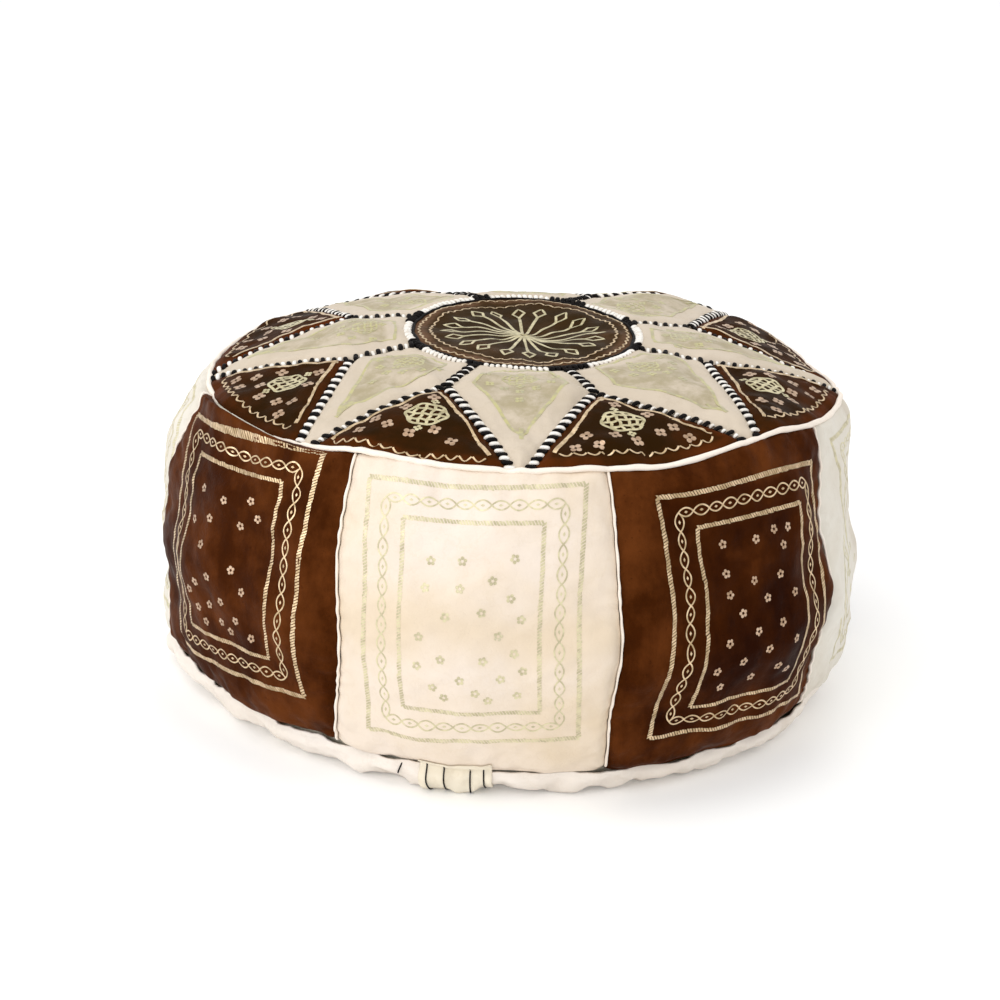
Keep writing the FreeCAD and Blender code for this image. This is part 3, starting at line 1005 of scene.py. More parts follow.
def make_crown_patches():
    for i in range(PETALS):
        rows = np.sort(np.append(patch_rows(MEDALLION_RADIUS + PATCH_ROOM), APEX_RADIUS))
        gap = np.degrees(PATCH_ROOM / rows)
        spoke = APEX_ANGLES[i - 1] - 360 * round((APEX_ANGLES[i - 1] - TIP_ANGLES[i]) / 360)
        left = np.where(rows < APEX_RADIUS, spoke, edge_angle(i, -1, rows)) + gap
        right = np.where(rows < APEX_RADIUS, APEX_ANGLES[i], edge_angle(i, 1, rows)) - gap
        crown_patch("petal_%d" % (i + 1), rows, left, right, CROWN_CREAM, PETAL_MARGIN)
        rows = patch_rows(APEX_RADIUS + 1.0 * MM)
        gap = np.degrees(PATCH_ROOM / rows)
        after = (i + 1) % PETALS
        left = edge_angle(i, 1, rows) + gap
        right = edge_angle(after, -1, rows) + (360 if after == 0 else 0) - gap
        right = np.maximum(right, left + 0.05)
        crown_patch("triangle_%d" % (i + 1), rows, left, right, CROWN_BROWN,
                    TRIANGLE_MARGIN)


def make_medallion():
    shares = np.concatenate([np.linspace(4, 78, 27), [80, 81.6, 82.8, 83.7, 84.4]]) / 85
    angles = round_angles(180)
    angle, along = np.meshgrid(angles, shares * MEDALLION_RADIUS)
    top, normal = cover("crown", angle, along)
    count = angle.size
    ring = np.arange(len(angles))
    faces = grid_faces(*angle.shape, closed=True)
    faces += grid_faces(*angle.shape, start=count, flip=True, closed=True)
    faces += [ring[::-1].tolist(), (ring + count).tolist()]
    faces += wall(np.arange(count - len(angles), count), count)
    field = np.tile(ease((0.88 * MEDALLION_RADIUS - along) / (6 * MM)).reshape(-1), 2)
    points = both_skins(top, top - normal * LEATHER)
    piece = make_piece("medallion_skin", points, faces, [MEDALLION_BROWN], field=field)
    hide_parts("medallion")


# --- piping and welts ---

PIPING_RISE = 0.7 * MM
# Where the piping has sunk out of sight: its angle, how deep and how far round
SUNK_AT, SUNK_DEPTH, SUNK_SPREAD = -57, 5.5 * MM, 15
WELT_WIDTH = 0.95 * MM
WELT_RISE = 1.2 * MM


def make_piping():
    angles = round_angles(480)
    crown_side, _ = cover("crown", angles, np.full(len(angles), RIM_RADIUS - 2 * MM))
    flank_side, _ = cover("flank", angles, np.full(len(angles), 2 * MM))
    normal = np.stack([*polar(angles, 0.66), np.full(len(angles), 0.75)], -1)
    raised = PIPING_RISE - SUNK_DEPTH * groove(around(angles - SUNK_AT), SUNK_SPREAD)
    line = (crown_side + flank_side) / 2 + normal * raised[:, None]
    turn = np.radians(angles)
    width = PIPING_RADIUS * (0.86 + 0.08 * np.sin(turn * 37 + np.sin(turn * 5)))
    points, faces = tubes([line], [normal], width, width, sides=10, closed=True)
    piece = make_piece("rim_piping", points, faces, [WELT_LEATHER])
    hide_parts("top_piping")


def make_welts():
    for index in range(PANELS):
        along = np.linspace(1.5 * MM, SIDE_LENGTH - 2 * MM, 110)
        angle = seam_angle(index, along)
        line, normal = cover("flank", angle, along, WELT_RISE)
        width = WELT_WIDTH * (1 + 0.18 * np.sin(along / (4.1 * MM) + index))
        points, faces = tubes([line], [normal], width, 1.1 * width)
        piece = make_piece("side_welt_%d_roll" % (index + 1), points, faces, [WELT_LEATHER])
        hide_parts("side_welt_%d" % (index + 1))


# --- lacing ---

STITCH_PITCH = 4.2 * MM
# Stitches: width across the seam, rise over it and half the strip's thickness, in millimetres
PETAL_BLACK, PETAL_WHITE, PETAL_WHITE_PULLED_IN = (7.6, 0.8, 1.7), (7.2, 0.8, 1.75), (4.4, 0.8, 1.2)
SPOKE_BLACK, SPOKE_WHITE = (8.6, 0.9, 1.9), (6.6, 0.6, 1.5)
RING_BLACK, RING_WHITE = (7.6, 0.9, 1.9), (6.2, 0.5, 1.8)


def plan_to_polar(x, y):
    """The angle and radius of a place in plan."""
    return np.degrees(np.arctan2(x, -y)), np.hypot(x, y)


def whip_stitches(centres, run, slant, form, seed):
    """Raised stitches across a seam: centres (n, 2) in plan, the seam's direction at each."""
    width, rise, thick = (size * MM for size in form)
    draw = np.random.default_rng(seed)
    count = len(centres)
    turn = np.radians(90 + slant + draw.normal(0, 5, count))
    cross = np.stack([run[:, 0] * np.cos(turn) - run[:, 1] * np.sin(turn),
                      run[:, 0] * np.sin(turn) + run[:, 1] * np.cos(turn)], -1)
    reach = np.linspace(-1, 1, 9)
    half = width / 2 * draw.uniform(0.9, 1.1, count)
    spots = centres[:, None] + cross[:, None] * (reach[None, :] * half[:, None])[..., None]
    angle, radius = plan_to_polar(spots[..., 0], spots[..., 1])
    radius = np.minimum(radius, RIM_RADIUS - 0.5 * MM)
    lift = rise * np.sqrt(np.clip(1 - reach ** 2, 0, 1)) * draw.uniform(0.88, 1.12, count)[:, None]
    lift = lift - 0.9 * MM * np.abs(reach) ** 3 + 1.3 * MM * (1 - reach ** 2)
    lines, normals = cover("crown", angle, radius, lift)
    body = thick * (0.55 + 0.45 * np.sqrt(np.clip(1 - np.abs(reach) ** 3, 0, 1)))
    return tubes(lines, normals, body, body * 0.72)


def seam_stops(start, end, first, last):
    """Stitch centres along a straight seam in plan, and the seam's direction."""
    start, end = np.array(start), np.array(end)
    length = np.linalg.norm(end - start)
    count = int((length - first - last) / STITCH_PITCH)
    run = (end - start) / length
    stops = first + (np.arange(count) + 0.5) * (length - first - last) / count
    return start + stops[:, None] * run, np.tile(run, (count, 1))


def two_tone(black, white, name, node):
    """A lacing of black groups and white groups."""
    points, faces, owners = gather(black + white)
    tones = [0 if owner < len(black) else 1 for owner in owners]
    piece = make_piece(name, points, faces, [BLACK_LACE, WHITE_LACE], tones)
    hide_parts(node)


# The petals' edges where the white stitches are pulled in almost out of sight
PULLED_IN = ((1, -1), (7, 1), (2, -1))


def make_petal_lacing():
    for i in range(PETALS):
        black, white = [], []
        for side in (-1, 1):
            apex_index = i - 1 if side < 0 else i
            centres, run = seam_stops(polar(APEX_ANGLES[apex_index], APEX_RADIUS), tip_of(i, side),
                                      2.5 * MM, 2 * MM)
            slant = 24 * side
            seed = 100 + 2 * i + side
            form = PETAL_WHITE_PULLED_IN if (i, side) in PULLED_IN else PETAL_WHITE
            black.append(whip_stitches(centres[::2], run[::2], slant, PETAL_BLACK, seed))
            white.append(whip_stitches(centres[1::2], run[1::2], slant, form, seed + 50))
        two_tone(black, white, "petal_lacing_%d_stitches" % (i + 1), "petal_lacing_%d" % (i + 1))


def make_spoke_lacing():
    black, white = [], []
    for i in range(PETALS):
        centres, run = seam_stops(polar(APEX_ANGLES[i], MEDALLION_RADIUS + 4 * MM),
                                  polar(APEX_ANGLES[i], APEX_RADIUS), 0.5 * MM, 1.0 * MM)
        slant = 20 if i % 2 else -20
        black.append(whip_stitches(centres[::2], run[::2], slant, SPOKE_BLACK, 200 + i))
        white.append(whip_stitches(centres[1::2], run[1::2], slant, SPOKE_WHITE, 230 + i))
    two_tone(black, white, "spoke_lacing_stitches", "spoke_lacing")


def make_medallion_lacing():
    count = 2 * int(math.pi * MEDALLION_RADIUS / STITCH_PITCH)
    angles = np.arange(count) * 360 / count
    to_spoke = np.min([np.abs(around(angles - a)) for a in APEX_ANGLES], axis=0)
    dark = to_spoke < 7 + 3 * np.sin(np.radians(angles) * 3)
    turn = np.radians(angles)
    run = np.stack([np.cos(turn), np.sin(turn)], -1)
    centres = np.stack(polar(angles, MEDALLION_RADIUS + 1.2 * MM), -1)
    black = [whip_stitches(centres[dark], run[dark], 12, RING_BLACK, 300)]
    white = [whip_stitches(centres[~dark], run[~dark], 16, RING_WHITE, 301)]
    ring = round_angles(240)
    radius = MEDALLION_RADIUS - (2.6 + 0.3 * np.sin(np.radians(ring) * 23)) * MM
    line, normal = cover("crown", ring, radius, 0.9 * MM)
    black.append(tubes([line], [normal], 1.3 * MM, 0.9 * MM, closed=True))
    two_tone(black, white, "medallion_lacing_stitches", "medallion_lacing")


# --- gold stamping ---

FOIL_LIFT = 0.16 * MM
FOIL_DEPTH = 0.12 * MM


# Each side panel's stamp: its middle's angle, its distance below the rim, its tilt, width and height
STAMP_SETTINGS = (
    (39.0, 109 * MM, 1.8, 0.98, 0.965), (84.5, 105 * MM, -1.0, 0.98, 1.0),
    (129.5, 107 * MM, 1.2, 1.0, 1.0), (173.6, 104 * MM, -1.8, 0.98, 1.0),
    (219.4, 108 * MM, 0.6, 1.0, 0.98), (263.7, 106 * MM, 1.6, 0.98, 1.0),
    (309.8, 101 * MM, -6.2, 1.07, 0.985), (354.2, 102 * MM, -2.2, 0.98, 1.0),
)
# Where a panel's stamp has crept sideways with its leather: how far, how far below the rim, its spread
STAMP_CREEP = {
    0: (4.5 * MM, 98 * MM, 36 * MM), 6: (-7 * MM, 172 * MM, 45 * MM), 7: (-1 * MM, 120 * MM, 40 * MM),
}
USUAL_CREEP = (1.5 * MM, 120 * MM, 30 * MM)
FRAME_OUTER = (148 * MM, 178 * MM)
FRAME_INNER = (95 * MM, 132 * MM)
ROPE_WIDTH = 3.2 * MM
ROPE_PITCH = 2.1 * MM
ROPE_SLOPE = 0.55
CHAIN_LINK = 12.4 * MM
CHAIN_RISE = 3.4 * MM
LINE_WIDTH = 1.05 * MM
# Places of the small flowers, as shares of the inner frame's width and height
FLOWERS_RIGHT = (
    (.16, .07), (.51, .08), (.81, .15), (.72, .05), (.90, .06), (.15, .24), (.43, .31), (.73, .31),
    (.17, .37), (.57, .43), (.90, .44), (.30, .49), (.73, .59), (.46, .61), (.14, .64), (.91, .71),
    (.60, .73), (.32, .77), (.08, .81), (.78, .87), (.48, .90), (.92, .92), (.17, .93),
)
FLOWERS_LEFT = (
    (.15, .13), (.50, .15), (.79, .11), (.06, .34), (.33, .29), (.69, .28), (.88, .21), (.26, .46),
    (.63, .56), (.37, .64), (.17, .71), (.05, .78), (.78, .67), (.54, .77), (.34, .83), (.16, .88),
    (.70, .87), (.49, .92), (.26, .96), (.61, .96), (.89, .95),
)
FLOWERS_FRONT = (
    (.17, .17), (.43, .16), (.85, .14), (.13, .32), (.42, .31), (.68, .26), (.83, .36), (.31, .47),
    (.60, .44), (.92, .48), (.10, .59), (.74, .57), (.28, .71), (.08, .76), (.62, .71), (.87, .67),
    (.94, .77), (.43, .83), (.76, .82), (.20, .89), (.55, .91), (.29, .95), (.65, .96), (.89, .93),
)
PANEL_FLOWERS = {0: FLOWERS_RIGHT, 4: FLOWERS_LEFT, 6: FLOWERS_LEFT}


def stamp_shift(panel, along):
    """How far a stamp has crept sideways at a distance below the rim."""
    creep, down, spread = STAMP_CREEP.get(panel, USUAL_CREEP)
    return creep * groove(along - down, spread)


def side_stamp_places(panel, x, y):
    """Angle and distance for a stamp's own x and y, measured from the stamp's middle."""
    centre, down, tilt, width, height = STAMP_SETTINGS[panel]
    c, s = math.cos(math.radians(tilt)), math.sin(math.radians(tilt))
    y = y * height
    across = (x * c - y * s) * width
    along = down + x * s + y * c
    across = across + stamp_shift(panel, along)
    radius = PROFILES["flank"].at(along)[0]
    return centre + np.degrees(across / radius), along


def side_stamp_reverse(panel, angle, along):
    """A stamp's own x and y for a place on the side."""
    centre, down, tilt, width, height = STAMP_SETTINGS[panel]
    c, s = math.cos(math.radians(tilt)), math.sin(math.radians(tilt))
    across = np.radians(around(angle - centre)) * PROFILES["flank"].at(along)[0]
    across = (across - stamp_shift(panel, along)) / width
    return across * c + (along - down) * s, ((along - down) * c - across * s) / height


def foil_outlines(place, outlines):
    """Thin foil shapes: outlines (shapes, corners, 2) mapped onto the cover by place."""
    outlines = np.asarray(outlines, float)
    shapes, corners = outlines.shape[:2]
    part, angle, along = place(outlines[..., 0], outlines[..., 1])
    top, normal = cover(part, angle, along, FOIL_LIFT)
    under = top - normal * (FOIL_LIFT + FOIL_DEPTH)
    count = shapes * corners
    number = np.arange(count).reshape(shapes, corners)
    after = np.roll(number, -1, axis=1)
    faces = number.tolist() + (number[:, ::-1] + count).tolist()
    faces += np.stack([number, number + count, after + count, after], -1).reshape(-1, 4).tolist()
    return both_skins(top, under), faces


def foil_lines(place, lines, width):
    """Thin foil lines of one width along (lines, points, 2)."""
    lines = np.asarray(lines, float)
    part, angle, along = place(lines[..., 0], lines[..., 1])
    middle, normal = cover(part, angle, along, (FOIL_LIFT - FOIL_DEPTH) / 2)
    return tubes(middle, normal, width / 2, (FOIL_LIFT + FOIL_DEPTH) / 2, sides=4)


def make_stamp(name, groups, foils, tones):
    """One stamp from groups of foil shapes, with the number of each group's foil."""
    points, faces, owners = gather(groups)
    return make_piece(name, points, faces, foils, [tones[owner] for owner in owners], smooth=False)


def rectangle(width, height):
    w, h = width / 2, height / 2
    return np.array([(-w, -h), (w, -h), (w, h), (-w, h)])


def sides_of(corners):
    """Each side of a polygon: its start, its length, its direction and the direction across it."""
    for start, end in zip(corners, np.roll(corners, -1, axis=0)):
        length = np.linalg.norm(end - start)
        run = (end - start) / length
        yield start, length, run, np.array([-run[1], run[0]])


def rope_strokes(corners, width, seed):
    """Slanting strokes side by side along the sides of a polygon, like a stamped rope."""
    draw = np.random.default_rng(seed)
    strokes = []
    for start, length, run, aside in sides_of(corners):
        count = int(length / ROPE_PITCH)
        for k in range(count):
            middle = start + run * (k + 0.5) * length / count
            middle = middle + aside * draw.normal(0, 0.12 * MM)
            lean = run * width * ROPE_SLOPE / 2
            half = run * ROPE_PITCH * 0.36
            side = aside * width / 2 * draw.uniform(0.9, 1.1)
            strokes.append([middle - half - lean - side, middle + half - lean - side,
                            middle + half + lean + side, middle - half + lean + side])
    return np.array(strokes)


def chain_border(corners):
    """Two strands that cross at even steps round a rectangle, with a dot in each link."""
    strands, dots = [], []
    t = np.linspace(0, 1, 10)
    for start, length, run, aside in sides_of(corners):
        links = int(round(length / CHAIN_LINK))
        link = length / links
        for k in range(links):
            swell = CHAIN_RISE * np.sin(t * math.pi) ** 0.8 * (1.0 if k % 2 else 0.86)
            spine = start + run * ((k + t) * link)[:, None]
            strands += [spine + aside * swell[:, None], spine - aside * swell[:, None]]
            middle = start + run * (k + 0.5) * link
            spread, high = run * 1.5 * MM, aside * 0.9 * MM
            dots.append([middle - spread, middle - high, middle + spread, middle + high])
    return np.array(strands), np.array(dots)


def circle(x, y, radius, sides, turn=0.0):
    a = np.arange(sides) * 2 * math.pi / sides + turn
    return np.stack([x + radius * np.cos(a), y + radius * np.sin(a)], -1)


def flower(x, y, turn, reach=2.1 * MM, petal=1.25 * MM, petals=5):
    """A ring of small round petals."""
    shapes = []
    for k in range(petals):
        a = turn + k * 2 * math.pi / petals
        shapes.append(circle(x + reach * math.cos(a), y + reach * math.sin(a), petal, 7, turn=a))
    return shapes


def field_flowers(places, seed):
    """Small flowers over the inner field of a side stamp."""
    draw = np.random.default_rng(seed)
    width, height = FRAME_INNER[0] - 12 * MM, FRAME_INNER[1] - 12 * MM
    shapes = []
    for u, v in places:
        shapes += flower((u - 0.5) * width, (v - 0.5) * height, draw.uniform(0, 2 * math.pi))
    return np.array(shapes)


def make_side_stamps():
    for panel in range(PANELS):
        def place(x, y, panel=panel):
            return ("flank", *side_stamp_places(panel, x, y))

        brown = panel % 2 == 0
        flowers = PANEL_FLOWERS.get(panel, FLOWERS_FRONT)
        strands, dots = chain_border(rectangle(*np.add(FRAME_OUTER, FRAME_INNER) / 2))
        groups = [
            foil_outlines(place, rope_strokes(rectangle(*FRAME_OUTER), ROPE_WIDTH, panel)),
            foil_outlines(place, rope_strokes(rectangle(*FRAME_INNER), ROPE_WIDTH * 0.9, panel + 20)),
            foil_lines(place, strands, LINE_WIDTH),
            foil_outlines(place, dots),
            foil_outlines(place, field_flowers(flowers, panel + 40)),
        ]
        foils = [GOLD_ON_BROWN, DULL_GOLD] if brown else [GOLD_ON_CREAM, GOLD_ON_CREAM]
        piece = make_stamp("side_stamp_%d" % (panel + 1), groups, foils, (0, 0, 0, 0, 1))


def crown_place(middle_angle, middle_radius):
    """Maps a stamp's x (towards greater angles) and y (outward) onto the crown."""
    def place(x, y):
        out = np.radians(middle_angle)
        px = (middle_radius + y) * np.sin(out) + x * np.cos(out)
        py = -(middle_radius + y) * np.cos(out) + x * np.sin(out)
        angle, radius = plan_to_polar(px, py)
        return "crown", angle, np.minimum(radius, RIM_RADIUS - 2.5 * MM)
    return place


def knot_motif(width, height):
    """A lobed knot of rounded windows, with a small cross at each end."""
    a = np.linspace(0, 2 * math.pi, 37)
    lobes = 1 + 0.06 * np.cos(6 * a)
    lines = [np.stack([width / 2 * lobes * np.cos(a), height / 2 * lobes * np.sin(a)], -1)]
    t = np.linspace(-1, 1, 37)
    for v in (-0.26, 0.0, 0.26):
        reach = 0.5 * math.sqrt(1 - (v / 0.5) ** 2)
        lines.append(np.stack([width * reach * t, height * (v + 0.02 * np.sin(9 * t))], -1))
    for u in (-0.32, -0.11, 0.11, 0.32):
        reach = 0.5 * math.sqrt(1 - (u / 0.5) ** 2)
        lines.append(np.stack([width * (u + 0.018 * np.sin(9 * t)), height * reach * t], -1))
    shapes = []
    for side in (-1, 1):
        for x, y in ((0, 0.6), (0, 4.0), (-1.9, 2.3), (1.9, 2.3)):
            shapes.append(circle(x * MM, side * (height / 2 + (y + 1.6) * MM), 1.4 * MM, 6))
    return np.array(lines), np.array(shapes)


def inset(start, end, room):
    """A straight line in plan moved to its left: a point on it and its direction."""
    start, end = np.array(start), np.array(end)
    run = (end - start) / np.linalg.norm(end - start)
    return start + room * np.array([-run[1], run[0]]), run


def to_left(line, spot):
    """How far a spot lies to the left of a line."""
    start, run = line
    return run[0] * (spot[1] - start[1]) - run[1] * (spot[0] - start[0])


def meeting(first, second):
    """Where two straight lines in plan meet."""
    (p, d), (q, e) = first, second
    gap = q - p
    return p + d * (gap[0] * e[1] - gap[1] * e[0]) / (d[0] * e[1] - d[1] * e[0])


def reach_out(line, radius):
    """Where a straight line in plan leaves a circle round the middle."""
    point, run = line
    along = point @ run
    return point + run * (math.sqrt(along ** 2 - point @ point + radius ** 2) - along)


def stretch(start, end, count=40):
    """Points from start to end, not quite straight."""
    t = np.linspace(0, 1, count)[:, None]
    start, end = np.array(start), np.array(end)
    aside = np.array([-(end - start)[1], (end - start)[0]])
    return start + (end - start) * t + aside * 0.006 * np.sin(t * 9 + start[0] * 40)


def plan_place(x, y):
    """Maps a place in plan onto the crown."""
    angle, radius = plan_to_polar(x, y)
    return "crown", angle, np.minimum(radius, RIM_RADIUS - 2 * MM)


def tip_of(petal, side):
    """Where a petal's edge meets the rim, with side -1 before its tip and 1 after it."""
    return polar(TIP_ANGLES[petal] + side * math.degrees(TIP_WIDTH / 2 / RIM_RADIUS), RIM_RADIUS)


def scallops(radius_at, angles, count, rise):
    """A row of hanging arcs between two angles."""
    lines = []
    step = (angles[1] - angles[0]) / count
    for k in range(count):
        t = np.linspace(0.04, 0.96, 9)
        a = angles[0] + (k + t) * step
        lines.append(np.stack([a, radius_at + rise * np.sin(t * math.pi)], -1))
    return np.array(lines)


def polar_place(angle, radius):
    return "crown", angle, radius


KNOT_RADIUS = 187 * MM
FLOWER_ROOM = 5.5 * MM
# Millimetres from the knot's middle, towards greater angles and outward
TRIANGLE_FLOWERS = (
    (3, -22), (20, -7), (-14, -17), (-23, -5), (-31, 10), (-12, 15.5), (3, 22), (21, 17), (32, 10),
    (39, 23), (-44, 22), (-27, 23),
)
PETAL_FLOWERS = ((-24, -6), (-21, 9), (24, -6), (21, 9), (0, 22), (0, 36), (-11, 17), (11, 17))


def make_triangle_stamps():
    for i in range(PETALS):
        outer = RIM_RADIUS - (9 if i == 7 else 15) * MM
        after = (i + 1) % PETALS
        apex = polar(APEX_ANGLES[i], APEX_RADIUS)
        first = inset(apex, tip_of(i, 1), TRIANGLE_MARGIN)
        second = inset(apex, tip_of(after, -1), -TRIANGLE_MARGIN)
        top = meeting(first, second)
        ends = [reach_out(first, outer + 1 * MM), reach_out(second, outer - 1 * MM)]
        sides = [stretch(top - first[1] * 3 * MM, ends[0]), stretch(top - second[1] * 4 * MM, ends[1])]
        angles = [plan_to_polar(*end)[0] for end in ends]
        angles[1] += 360 * round((angles[0] + 30 - angles[1]) / 360)
        scallop = scallops(outer + 1.4 * MM, (angles[0] + 0.6, angles[1] - 0.4), 12, 3.4 * MM)
        middle = (angles[0] + angles[1]) / 2
        turn = 1 if i % 2 == 0 else -1
        centre = crown_place(middle, KNOT_RADIUS)
        knot_lines, knot_dots = knot_motif(29 * MM, 23 * MM)
        draw = np.random.default_rng(500 + i)
        blooms = []
        for x, y in TRIANGLE_FLOWERS:
            x, y = x * turn * MM + draw.normal(0, 0.7 * MM), y * MM + draw.normal(0, 0.7 * MM)
            spot = np.array(polar(*centre(x, y)[1:]))
            if min(to_left(first, spot), -to_left(second, spot)) < FLOWER_ROOM:
                continue
            blooms += flower(x, y, math.pi / 4 + draw.normal(0, 0.25), 2.7 * MM, 2.0 * MM, petals=4)
        groups = [
            foil_lines(plan_place, np.array(sides), 2.9 * MM),
            foil_lines(polar_place, scallop, 1.35 * MM),
            foil_outlines(centre, np.array(blooms)),
            foil_lines(centre, knot_lines, 2.2 * MM),
            foil_outlines(centre, knot_dots),
        ]
        foils = [GOLD_ON_BROWN, DULL_GOLD, PALE_GOLD]
        piece = make_stamp("triangle_stamp_%d" % (i + 1), groups, foils, (0, 0, 1, 2, 2))


def make_medallion_stamp():
    spokes = 20
    near, far, wide = 0.55 * MEDALLION_RADIUS, 0.725 * MEDALLION_RADIUS, 4.8
    half_way = (near + far) / 2
    t = np.linspace(0, 4, 17)
    lines, diamonds = [], []
    for k in range(spokes):
        a = k * 360 / spokes + 5 + 1.2 * math.sin(3.1 * k)
        lines.append(np.stack([np.full(24, a), np.linspace(0.03, 0.57, 24) * MEDALLION_RADIUS], -1))
        ring = np.array([(a, near), (a + wide, half_way), (a, far), (a - wide, half_way), (a, near)])
        diamonds.append(np.stack([np.interp(t, range(5), column) for column in ring.T], -1))
    groups = [foil_lines(polar_place, np.array(lines), 2.3 * MM),
              foil_lines(polar_place, np.array(diamonds), 2.0 * MM)]
    for share, count in ((0.90, 64), (0.80, 56)):
        ring = scallops(share * MEDALLION_RADIUS, (0, 360), count, 2.0 * MM)
        groups.append(foil_lines(polar_place, ring, 1.3 * MM))
    groups.append(foil_outlines(crown_place(0, 0), [circle(0, 0, 5.5 * MM, 20)]))
    piece = make_stamp("medallion_stamp", groups, [PALE_GOLD, GOLD_ON_BROWN], (0, 0, 1, 1, 0))


def make_petal_stamps():
    for i in range(PETALS):
        before = APEX_ANGLES[i - 1]
        first_apex, last_apex = polar(before, APEX_RADIUS), polar(APEX_ANGLES[i], APEX_RADIUS)
        first_spoke = inset(polar(before, MEDALLION_RADIUS), first_apex, PETAL_MARGIN)
        last_spoke = inset(polar(APEX_ANGLES[i], MEDALLION_RADIUS), last_apex, -PETAL_MARGIN)
        first_edge = inset(first_apex, tip_of(i, -1), PETAL_MARGIN)
        last_edge = inset(last_apex, tip_of(i, 1), -PETAL_MARGIN)
        ring = MEDALLION_RADIUS + 13 * MM
        corners = [reach_out(first_spoke, ring), meeting(first_spoke, first_edge),
                   meeting(first_edge, last_edge), meeting(last_spoke, last_edge),
                   reach_out(last_spoke, ring)]
        outline = [stretch(a, b) for a, b in zip(corners, corners[1:])]
        outline.append(stretch(corners[0], corners[4]))
        tip = corners[2]
        inward = -tip / np.linalg.norm(tip)
        arrow = [stretch(tip + inward * 15 * MM, tip - inward * 3 * MM, 12)]
        heart = (corners[0] + corners[4]) / 2
        angle, radius = plan_to_polar(*heart)
        centre = crown_place(angle, radius + 22 * MM)
        knot_lines, knot_dots = knot_motif(24 * MM, 18 * MM)
        blooms = []
        for x, y in PETAL_FLOWERS:
            blooms += flower(x * MM, y * MM, 0.7, 2.2 * MM, 1.6 * MM, petals=4)
        groups = [
            foil_lines(plan_place, np.array(outline), 2.5 * MM), foil_lines(plan_place, arrow, 3.4 * MM),
            foil_lines(centre, knot_lines, 1.5 * MM), foil_outlines(centre, knot_dots),
            foil_outlines(centre, np.array(blooms)),
        ]
        piece = make_stamp("petal_stamp_%d" % (i + 1), groups, [OLIVE_ON_CREAM], (0,) * len(groups))


# --- closure ---

FLAP_CENTRE = -7.8
FLAP_WIDTH = 50 * MM
FLAP_TOP = SIDE_LENGTH - 6 * MM
FLAP_BOTTOM = BASE_FLAT_START - 4 * MM
HEM_DEGREES = math.degrees(1 / HEM_RADIUS)
# The stitches over the flap: millimetres from its middle, and how far each leans at its foot
FLAP_STITCHES = ((-20, 3.4), (-8, 2.6), (10, 0.4), (19.5, 1.6))
LONE_STITCH = -41.5


def make_closure():
    across, down = np.meshgrid(np.linspace(-0.5, 0.5, 40), np.linspace(0, 1, 20))
    angle = FLAP_CENTRE + across * FLAP_WIDTH * HEM_DEGREES * (1 + 0.05 * down)
    bottom = FLAP_BOTTOM - 2.6 * MM * np.abs(np.sin(across * 3 * math.pi))
    along = FLAP_TOP + (bottom - FLAP_TOP) * down
    piece = thick_patch("closure_flap_skin", "flank", angle, along, [FLAP_LEATHER], 1.0 * MM, 1.5 * MM)
    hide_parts("closure_flap")

    t = np.linspace(0, 1, 14)
    from_middle = 2 * t - 1
    stitches = []
    for x, lean in FLAP_STITCHES:
        a = FLAP_CENTRE + (x + lean * t ** 2) * MM * HEM_DEGREES
        s = FLAP_TOP + 3 * MM + (bottom.min() - 2 * MM - FLAP_TOP) * t
        stitches.append(cover("flank", a, s, 2.0 * MM - 1.2 * MM * from_middle ** 6))
    a = FLAP_CENTRE + (LONE_STITCH + 3.0 * (1 - t)) * MM * HEM_DEGREES
    s = SIDE_LENGTH + 3 * MM + 9 * MM * t
    stitches.append(cover("flank", a, s, 0.6 * MM - 1.2 * MM * from_middle ** 4))
    lines, normals = zip(*stitches)
    points, faces = tubes(lines, normals, 0.55 * MM, 0.5 * MM, sides=7)
    piece = make_piece("closure_stitches_thread", points, faces, [BLACK_THREAD])
    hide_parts("closure_stitches")


# --- lining and stuffing ---

def shell(depth, floor_room, inward=False):
    """A closed coarse skin at a depth in the cover, kept off the floor: its points and faces."""
    columns = 96
    angles = round_angles(columns)
    rows = [("crown", r) for r in np.linspace(0.02, 1, 22) * (RIM_RADIUS - 3 * MM)]
    rows += [("flank", s) for s in np.linspace(5 * MM, FLANK_LENGTH - 6 * MM, 60)]
    layers = []
    for part, along in rows:
        place = np.full(columns, along)
        rest, normal = rest_shape(part, angles, place)
        layers.append(rest + settling(part, angles, place) + push_at(part, angles, place) - normal * depth)
    points = np.concatenate(layers)
    points[:, 2] = np.maximum(points[:, 2], floor_room)
    faces = grid_faces(len(rows), columns, closed=True, flip=inward)
    ring = np.arange(columns)
    caps = [ring[::-1].tolist(), (ring + len(points) - columns).tolist()]
    return points, faces + ([cap[::-1] for cap in caps] if inward else caps)


def make_inside():
    outer = shell(LINING_DEPTH, 3.2 * MM)
    inner = shell(LINING_DEPTH + LINING, 4.0 * MM, inward=True)
    points, faces, _ = gather([outer, inner])
    lining = make_piece("lining_bag", points, faces, [LINING_COTTON])
    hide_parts("lining_top", "lining_side", "lining_base")
    points, faces = shell(STUFFING_DEPTH, 6 * MM)
    stuffing = make_piece("stuffing_cotton", points, faces, [STUFFING_COTTON])
    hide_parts("stuffing")


# --- floor, light and camera ---

FLOOR_REACH = 12.0
# Each light: its name, its place, what it is aimed at, its width and its power
LIGHTS = (
    ("overhead", (-0.3, -0.5, 2.4), (0, 0, 0.15), 2.0, 13),
    ("front_left", (-1.9, -2.2, 1.3), (0, 0, 0.12), 1.4, 16),
    ("left", (-2.6, -0.9, 0.8), (0, 0, 0.12), 1.2, 9),
)
WORLD_STRENGTH = 0.98

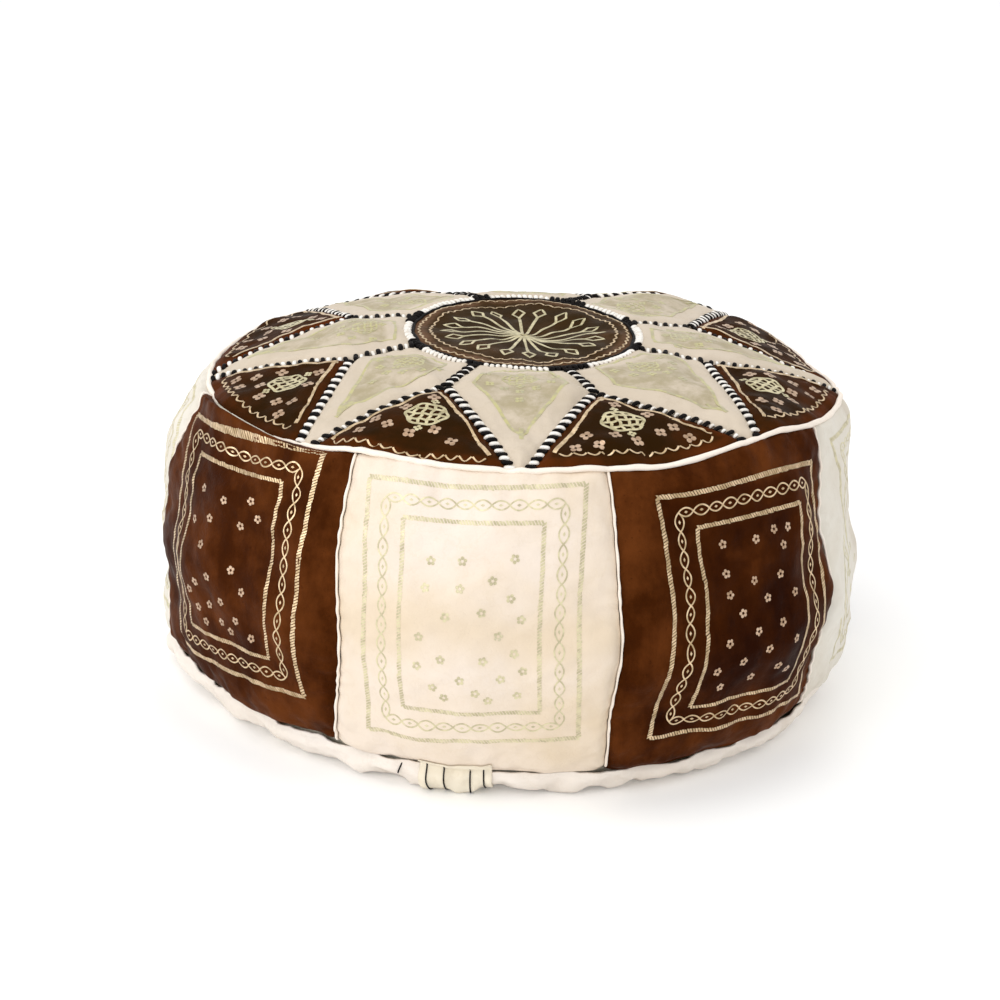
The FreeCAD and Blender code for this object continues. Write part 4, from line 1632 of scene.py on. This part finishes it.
def make_floor():
    finish = Finish("floor_paper")
    tone = finish.noise(0.4, detail=3)
    colour = finish.mix((0.955, 0.955, 0.95), (0.97, 0.97, 0.965), tone)
    material = finish.surface(Base_Color=colour, Roughness=0.9, Specular_IOR_Level=0.1,
                              Emission_Color=(1.0, 1.0, 0.99), Emission_Strength=0.06)
    mesh = bpy.data.meshes.new("floor")
    corners = rectangle(2 * FLOOR_REACH, 2 * FLOOR_REACH)
    mesh.from_pydata([(x, y, 0) for x, y in corners], [], [(0, 1, 2, 3)])
    mesh.materials.append(material)
    floor = put_in_scene("floor", mesh)


def area_light(name, place, aim, size, power):
    lamp = bpy.data.lights.new(name, "AREA")
    lamp.shape = "DISK"
    lamp.size = size
    lamp.energy = power
    light = put_in_scene(name, lamp)
    light.location = place
    light.rotation_mode = "QUATERNION"
    light.rotation_quaternion = (Vector(aim) - Vector(place)).to_track_quat("-Z", "Y")


def make_light():
    world = bpy.data.worlds.new("studio")
    world.use_nodes = True
    background = next(n for n in world.node_tree.nodes if n.type == "BACKGROUND")
    background.inputs["Color"].default_value = (1, 1, 1, 1)
    background.inputs["Strength"].default_value = WORLD_STRENGTH
    bpy.context.scene.world = world
    for light in LIGHTS:
        area_light(*light)
    bpy.context.scene.view_settings.view_transform = "Standard"


CAMERA_DISTANCE = 8 * RIM_RADIUS
CAMERA_ELEVATION = 24.06
CAMERA_PAN = -0.0068
CAMERA_TILT = 0.0655
CAMERA_ROLL = 2.55
CAMERA_LENS = 85.0


def make_camera():
    rise = math.radians(CAMERA_ELEVATION)
    place = Vector((0, -math.cos(rise), math.sin(rise))) * CAMERA_DISTANCE
    forward = Vector((0, math.cos(rise), -math.sin(rise)))
    right = Vector((1, 0, 0))
    up = right.cross(forward)
    look = (forward + right * CAMERA_PAN + up * CAMERA_TILT).normalized()
    right = look.cross(up).normalized()
    up = right.cross(look)
    roll = math.radians(CAMERA_ROLL)
    right, up = right * math.cos(roll) + up * math.sin(roll), up * math.cos(roll) - right * math.sin(roll)
    lens = bpy.data.cameras.new("camera")
    lens.lens = CAMERA_LENS
    lens.sensor_width = 36.0
    camera = put_in_scene("camera", lens)
    camera.matrix_world = Matrix.Translation(place) @ Matrix((right, up, -look)).transposed().to_4x4()
    bpy.context.scene.camera = camera


simulate_push()
make_camera()
make_light()
make_floor()
make_side_panels()
make_base()
make_crown_patches()
make_medallion()
make_piping()
make_welts()
make_petal_lacing()
make_spoke_lacing()
make_medallion_lacing()
make_side_stamps()
make_triangle_stamps()
make_medallion_stamp()
make_petal_stamps()
make_closure()
make_inside()
